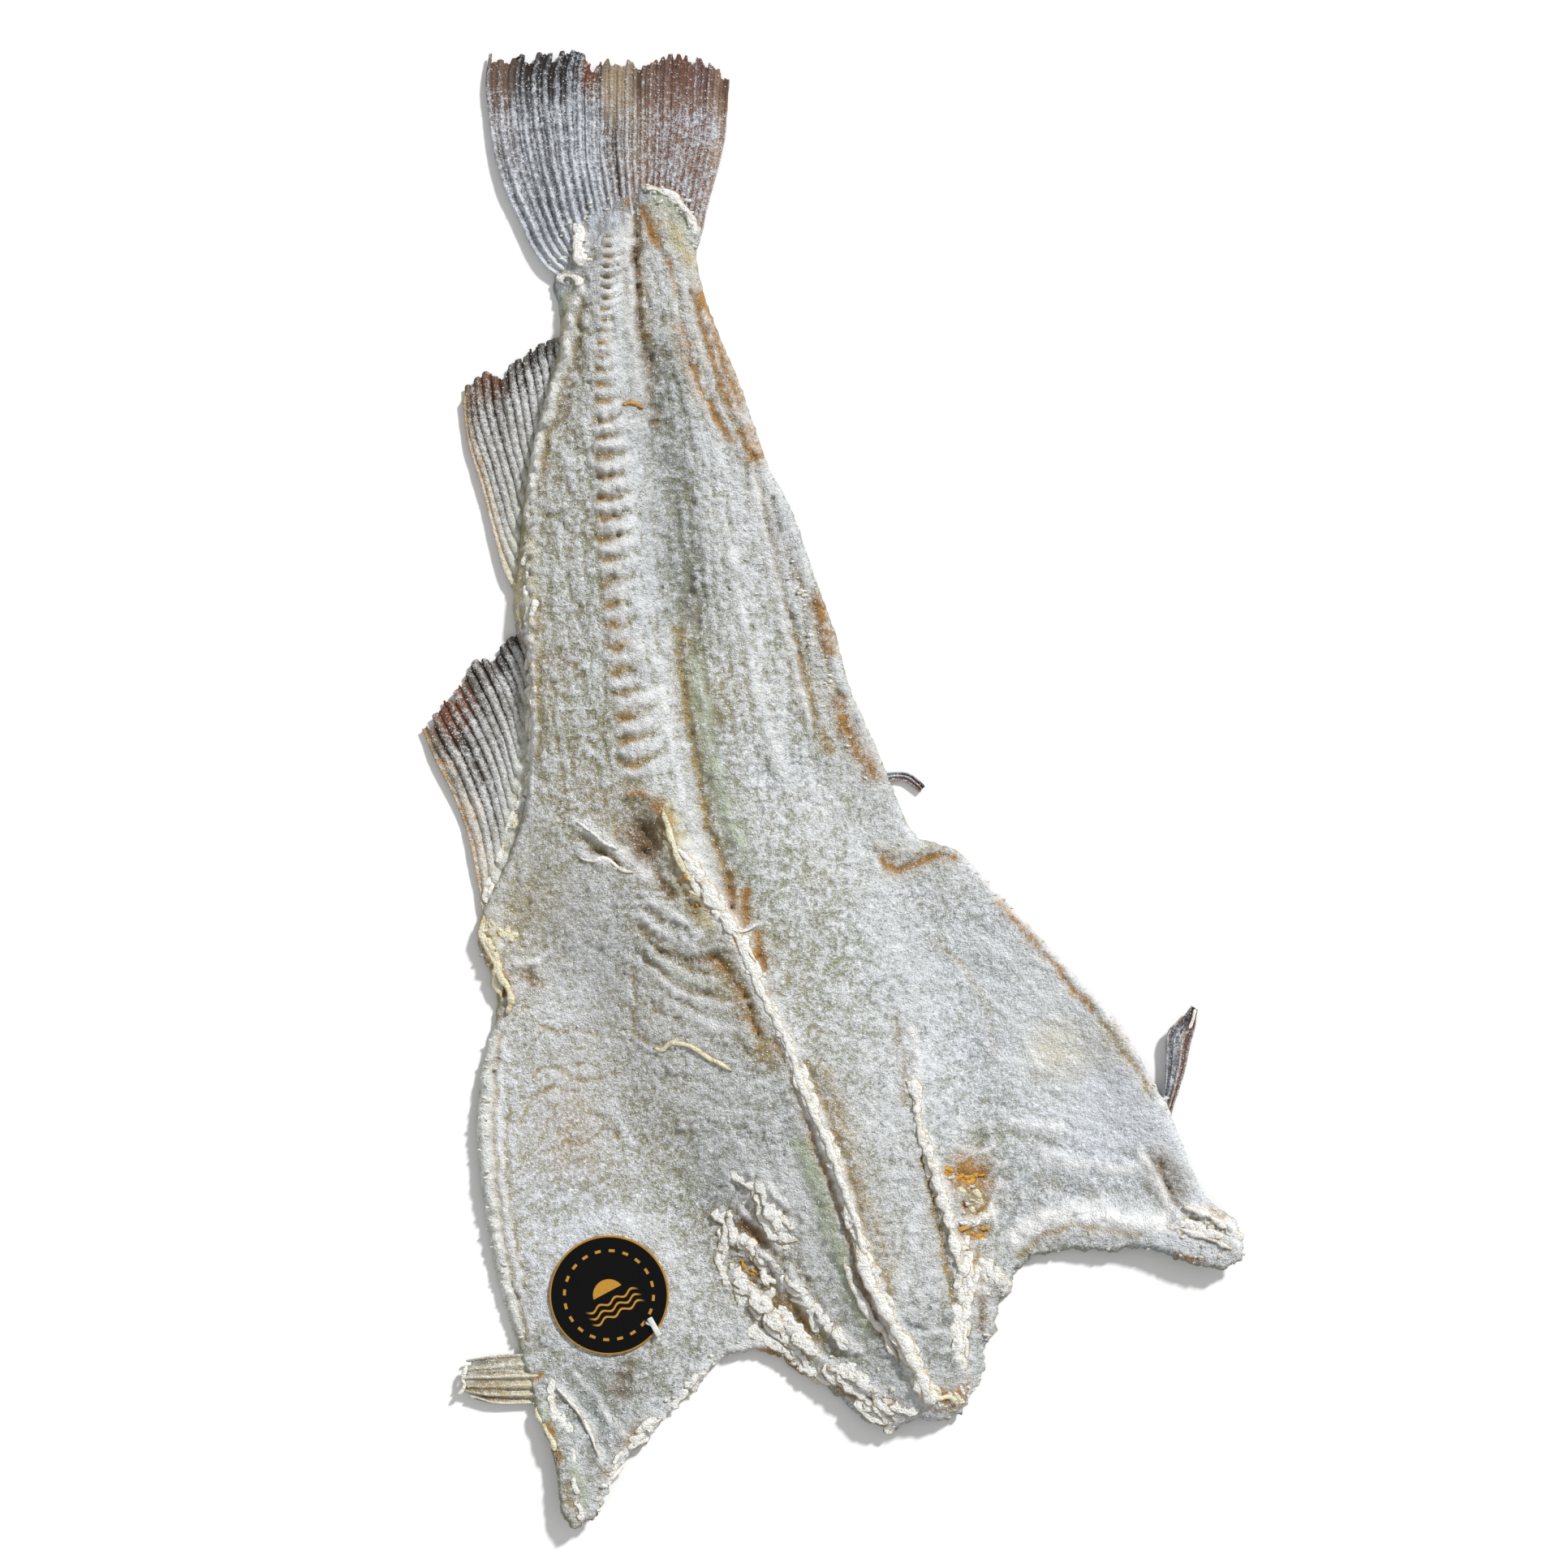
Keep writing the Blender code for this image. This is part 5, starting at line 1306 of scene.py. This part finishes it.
def makeShreds(name, entries, finish, heightAt):
    bpy.ops.object.select_all(action="DESELECT")
    bpy.ops.curve.primitive_bezier_curve_add()
    piece = bpy.context.object
    piece.name = name
    piece.data.splines.clear()
    piece.data.dimensions = "3D"
    piece.data.bevel_depth = 1.0
    piece.data.bevel_resolution = shreds["sides"] // 2 - 2
    levels, traits = [], []
    for number, (width, flatness, lift, uneven, path) in enumerate(entries):
        rough = smoothPath(path, 60)
        length = np.linalg.norm(np.diff(rough, axis=0), axis=1).sum()
        line = smoothPath(path, max(6, int(length / shreds["step"])))
        seed = shreds["seed"] + number
        line = line + 0.3 * width * np.stack([perlin(line, 7.0, seed), perlin(line, 7.0, seed + 50)], axis=-1)
        share = np.linspace(0.0, 1.0, len(line))
        radius = 0.5 * width * (1.0 + uneven * (1.1 * perlin(line, 6.0, seed) + 0.3 * perlin(line, 2.8, seed)))
        radius = np.maximum(radius, 0.3 * width) * np.sqrt(np.clip(np.minimum(share, 1 - share) * 8, 0.03, 1.0))
        level = [heightAt(x, y) for x, y in line.tolist()]
        lowest = min((one for one in level if one is not None), default=2.0)
        level = np.array([lowest if one is None else one for one in level])
        level = np.convolve(np.pad(level, 2, mode="edge"), np.ones(5) / 5, mode="valid")
        spline = piece.data.splines.new("POLY")
        spline.points.add(len(line) - 1)
        spline.points.foreach_set("co", np.column_stack([line, 0 * share, 1 + 0 * share]).ravel())
        spline.points.foreach_set("radius", radius)
        levels.append(level + lift)
        traits.append(np.tile([flatness, uneven, width], (len(line), 1)))
    bpy.ops.object.convert(target="MESH")
    sides = shreds["sides"]
    levels = np.repeat(np.concatenate(levels), sides)
    flatness, uneven, width = np.repeat(np.concatenate(traits), sides, axis=0).T
    points = readPoints(piece) * mm
    ragged = 0.2 * (uneven * width)[:, None]
    shift = np.stack([perlin(points[:, :2], 2.6, 141), perlin(points[:, :2], 2.6, 142)], axis=-1)
    points[:, :2] += ragged * shift
    crown = np.clip(0.55 + 1.1 * points[:, 2] / width, 0.0, 1.0)
    points[:, 2] *= flatness * (1.0 + 0.3 * perlin(points[:, :2], 3.0, 143))
    ceiling = cadBox[1][2] / mm + 0.6 - 1.4 * (1.0 - crown)
    points[:, 2] = np.clip(points[:, 2] + levels, 0.3 + 0.3 * crown, ceiling)
    writePoints(piece, points)
    writeMarks(piece, crown=crown)
    inEditMode(piece, lambda: bpy.ops.mesh.select_all(action="SELECT"),
               lambda: bpy.ops.mesh.fill_holes(sides=0),
               lambda: bpy.ops.mesh.normals_make_consistent(inside=False))
    return finishPiece(piece, finish, "salted_flesh")


def makeCrumbs(finish, heightAt):
    rng = np.random.default_rng(shreds["seed"])
    bpy.ops.object.select_all(action="DESELECT")
    bpy.ops.mesh.primitive_ico_sphere_add(subdivisions=2, radius=0.5)
    piece = bpy.context.object
    piece.name = "flesh_crumbs"
    ball = np.array([tuple(vertex.co) for vertex in piece.data.vertices])
    sides = np.array([tuple(face.vertices) for face in piece.data.polygons])
    spots = [np.array([x, y]) + rng.normal(0.0, spread / 2.2, 2)
             for x, y, spread, count in crumbPlaces for _ in range(count)]
    for path, spread, count in crumbTrails:
        line = smoothPath(path, 400)
        spots += [line[rng.integers(400)] + rng.normal(0.0, spread, 2) for _ in range(count)]
    shapes = []
    for spot in spots:
        size = rng.uniform(*shreds["crumbSize"]) * rng.uniform(0.5, 1.0)
        form = ball * rng.uniform(0.7, 1.3, 3) * (1.0 + 0.28 * rng.normal(0.0, 1.0, (len(ball), 1)))
        flat = turned(form[:, :2], rng.uniform(0, 360), (0.7, 1.2))
        level = heightAt(*spot.tolist())
        if level is not None:
            form = np.column_stack([flat, form[:, 2] * 0.8]) * size + (*spot, level + 0.12 * size)
            form[:, 2] = np.minimum(form[:, 2], cadBox[1][2] / mm + 0.6)
            shapes.append(form)
    faces = (sides[None] + len(ball) * np.arange(len(shapes))[:, None, None]).reshape(-1, 3)
    piece.data.clear_geometry()
    piece.data.from_pydata((np.concatenate(shapes) * mm).tolist(), [], faces.tolist())
    writeMarks(piece, crown=0.85)
    return finishPiece(piece, finish, "salted_flesh")


def makeTornBits():
    heightAt = surfaceReader(fleshPiece, *finPieces)
    flakes = looseFlakes(heightAt)
    white = shredFinish("torn_white", (204, 184, 142), (252, 252, 248))
    cream = shredFinish("torn_cream", (196, 166, 104), (240, 234, 206))
    amber = shredFinish("torn_amber", (168, 98, 34), (216, 166, 78))
    makeShreds("torn_threads", shreds["white"] + flakes["white"], white, heightAt)
    makeShreds("cream_strands", shreds["cream"] + flakes["cream"], cream, heightAt)
    makeShreds("amber_spots", shreds["amber"] + flakes["amber"], amber, heightAt)
    makeCrumbs(white, heightAt)


makeTornBits()


# Loose salt: small sharp grains pressed into whatever lies under them

salt = {
    "tries": 60000, "smallest": 0.4, "largest": 0.95, "sunk": 0.30, "seed": 7,
    "bareLabel": 1.2,
}


def makeSalt(*ground):
    rng = np.random.default_rng(salt["seed"])
    low, high = (np.array(corner) / mm for corner in cadBox)
    spots = rng.uniform(low[:2] + 2, high[:2] - 2, (salt["tries"], 2))
    patches = 0.62 + 0.5 * perlin(spots, 16.0, 120) + 0.35 * perlin(spots, 6.0, 121)
    patches -= 0.35 * softSpot(spots, 112, -140, 80, 42, -52) + 0.25 * softSpot(spots, -128, -175, 95, 34, 96)
    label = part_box("label")
    labelCentre = (np.array(label[0][:2]) + np.array(label[1][:2])) / 2 / mm
    labelRadius = (label[1][0] - label[0][0]) / 2 / mm
    kept = rng.random(len(spots)) < patches
    kept &= np.linalg.norm(spots - labelCentre, axis=1) > labelRadius + salt["bareLabel"]
    spots = spots[kept]
    trees = [BVHTree.FromObject(piece, bpy.context.evaluated_depsgraph_get()) for piece in ground]
    places = []
    for x, y in (spots * mm).tolist():
        hits = [tree.ray_cast(Vector((x, y, rayStart)), Vector((0, 0, -1)))[0] for tree in trees]
        heights = [hit.z for hit in hits if hit is not None]
        if heights:
            places.append((x / mm, y / mm, max(heights) / mm))
    places = np.array(places)
    count = len(places)
    size = salt["smallest"] + (salt["largest"] - salt["smallest"]) * rng.random(count) ** 2.2
    corners = np.array([(1, 0, 0), (-1, 0, 0), (0, 1, 0), (0, -1, 0), (0, 0, 1), (0, 0, -1)], float)
    shape = corners[None] * rng.uniform(0.7, 1.15, (count, 6, 1)) * size[:, None, None] / 2
    spin, tilt = rng.uniform(0, 2 * math.pi, count), rng.uniform(-0.7, 0.7, count)
    for one, other, angle in ((1, 2, tilt), (0, 1, spin)):
        turn = np.cos(angle)[:, None], np.sin(angle)[:, None]
        first, second = shape[..., one].copy(), shape[..., other].copy()
        shape[..., one] = turn[0] * first - turn[1] * second
        shape[..., other] = turn[1] * first + turn[0] * second
    shape += places[:, None]
    shape[..., 2] += (0.5 - salt["sunk"]) * size[:, None]
    shape[..., 2] = np.minimum(shape[..., 2], cadBox[1][2] / mm + 0.7)
    sides = np.array([(0, 2, 4), (2, 1, 4), (1, 3, 4), (3, 0, 4), (2, 0, 5), (1, 2, 5), (3, 1, 5), (0, 3, 5)])
    faces = (sides[None] + 6 * np.arange(count)[:, None, None]).reshape(-1, 3)
    mesh = bpy.data.meshes.new("salt_grains")
    mesh.from_pydata((shape.reshape(-1, 3) * mm).tolist(), [], faces.tolist())
    piece = bpy.data.objects.new("salt_grains", mesh)
    bpy.context.scene.collection.objects.link(piece)
    made = Finish("loose_salt", roughness=0.6, specular=0.3)
    tone = made.noise(6.0, 2.0)
    made.paint(made.blend(tone, seen(214, 218, 220), seen(236, 238, 238)))
    finishPiece(piece, made.material, "salted_flesh")
    mesh.shade_flat()


makeSalt(fleshPiece, *finPieces)


# The round card and its plastic tie, printed with a plain sun over waves

card = {
    "turn": 28.0, "black": seen(5, 5, 5), "gold": seen(186, 136, 54), "edge": 27.3,
    "sun": 7.5, "sunLow": 1.5, "waves": (-3.0, -6.2, -9.4), "waveWidth": 14.0, "dots": 21.0,
}


def paintCard():
    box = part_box("label")
    centre = tuple((low + high) / 2 for low, high in zip(box[0], box[1]))
    made = Finish("printed_card", roughness=0.6, specular=0.12)
    local = made.node("ShaderNodeMapping", {"vector_type": "TEXTURE"}, {
        "Vector": made.place, "Location": centre, "Scale": (mm, mm, mm),
        "Rotation": (0.0, 0.0, math.radians(card["turn"]))})
    x, y = (made.node("ShaderNodeSeparateXYZ", inputs={"Vector": local}, output=axis) for axis in "XY")
    reach = (x * x + y * y).math("SQRT")
    inside = 1.0 - x.math("ABSOLUTE").between(card["waveWidth"] - 3.0, card["waveWidth"])
    sun = (1.0 - reach.between(card["sun"] - 0.2, card["sun"] + 0.2)) * y.between(1.3, 1.7)
    print_ = sun
    for level in card["waves"]:
        line = (y - level - (x * 0.75).math("SINE") * 0.9).math("ABSOLUTE")
        print_ = print_.math("MAXIMUM", (1.0 - line.between(0.35, 0.65)) * inside)
    beat = (y.math("ARCTAN2", x) * 20.0).math("SINE").between(0.1, 0.4)
    ring = 1.0 - (reach - card["dots"]).math("ABSOLUTE").between(0.5, 0.8)
    print_ = print_.math("MAXIMUM", beat * ring)
    print_ = print_.math("MAXIMUM", reach.between(card["edge"] - 0.1, card["edge"] + 0.1) * 0.8)
    worn = made.noise(1.2, 4.0, 0.7)
    colour = made.blend((print_ * (1.35 - worn * 0.7)).held(), card["black"], card["gold"])
    dusty = (made.noise(0.9, 4.0, 0.7) + made.noise(9.0, 2.0) * 0.35).between(0.92, 1.04)
    made.paint(made.blend(dusty * 0.7, colour, seen(190, 190, 186)), print_ * -0.15 + 0.6)
    made.bump(worn, 0.12)
    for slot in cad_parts["label"].material_slots:
        slot.material = made.material


def paintTie():
    made = Finish("tie_plastic", roughness=0.42, specular=0.5)
    cloud, scuff = made.noise(3.0, 3.0), made.noise(0.6, 3.0)
    colour = made.blend(cloud.between(0.3, 0.7), seen(196, 200, 200), seen(222, 224, 220))
    made.paint(colour, scuff * 0.2 + 0.32)
    made.bump(scuff, 0.08)
    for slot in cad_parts["label_fastener"].material_slots:
        slot.material = made.material


paintCard()
paintTie()


# Camera, light and floor

view = {"lens": 85.0, "sensor": 36.0, "place": (-22.0, 1.9, 1755.0)}
light = {
    "world": 0.50, "sun": 3.35, "spread": 6.0, "azimuth": 52.0, "elevation": 38.0,
    "floor": seen(250, 250, 250), "floorSize": 6.0,
}


def setStage():
    scene = bpy.context.scene
    scene.view_settings.view_transform = "Standard"
    camera = bpy.data.objects.new("camera", bpy.data.cameras.new("camera"))
    scene.collection.objects.link(camera)
    camera.location = Vector(view["place"]) * mm
    camera.data.lens = view["lens"]
    camera.data.sensor_width = view["sensor"]
    camera.data.clip_start = 0.01
    scene.camera = camera
    world = bpy.data.worlds.new("studio")
    world.use_nodes = True
    world.node_tree.nodes["Background"].inputs["Color"].default_value = (1.0, 1.0, 1.0, 1.0)
    world.node_tree.nodes["Background"].inputs["Strength"].default_value = light["world"]
    scene.world = world
    lamp = bpy.data.lights.new("key", "SUN")
    lamp.energy = light["sun"]
    lamp.angle = math.radians(light["spread"])
    key = bpy.data.objects.new("key", lamp)
    scene.collection.objects.link(key)
    azimuth, elevation = math.radians(light["azimuth"]), math.radians(light["elevation"])
    towards = Vector((math.cos(azimuth) * math.cos(elevation), math.sin(azimuth) * math.cos(elevation),
                      math.sin(elevation)))
    key.rotation_euler = towards.to_track_quat("Z", "Y").to_euler()
    bpy.ops.object.select_all(action="DESELECT")
    bpy.ops.mesh.primitive_plane_add(size=light["floorSize"], location=(0.0, 0.0, -0.0002))
    floor = bpy.context.object
    floor.name = "floor"
    made = Finish("floor_white", roughness=0.9, specular=0.1)
    made.shader.inputs["Base Color"].default_value = (*light["floor"], 1.0)
    floor.data.materials.append(made.material)


setStage()
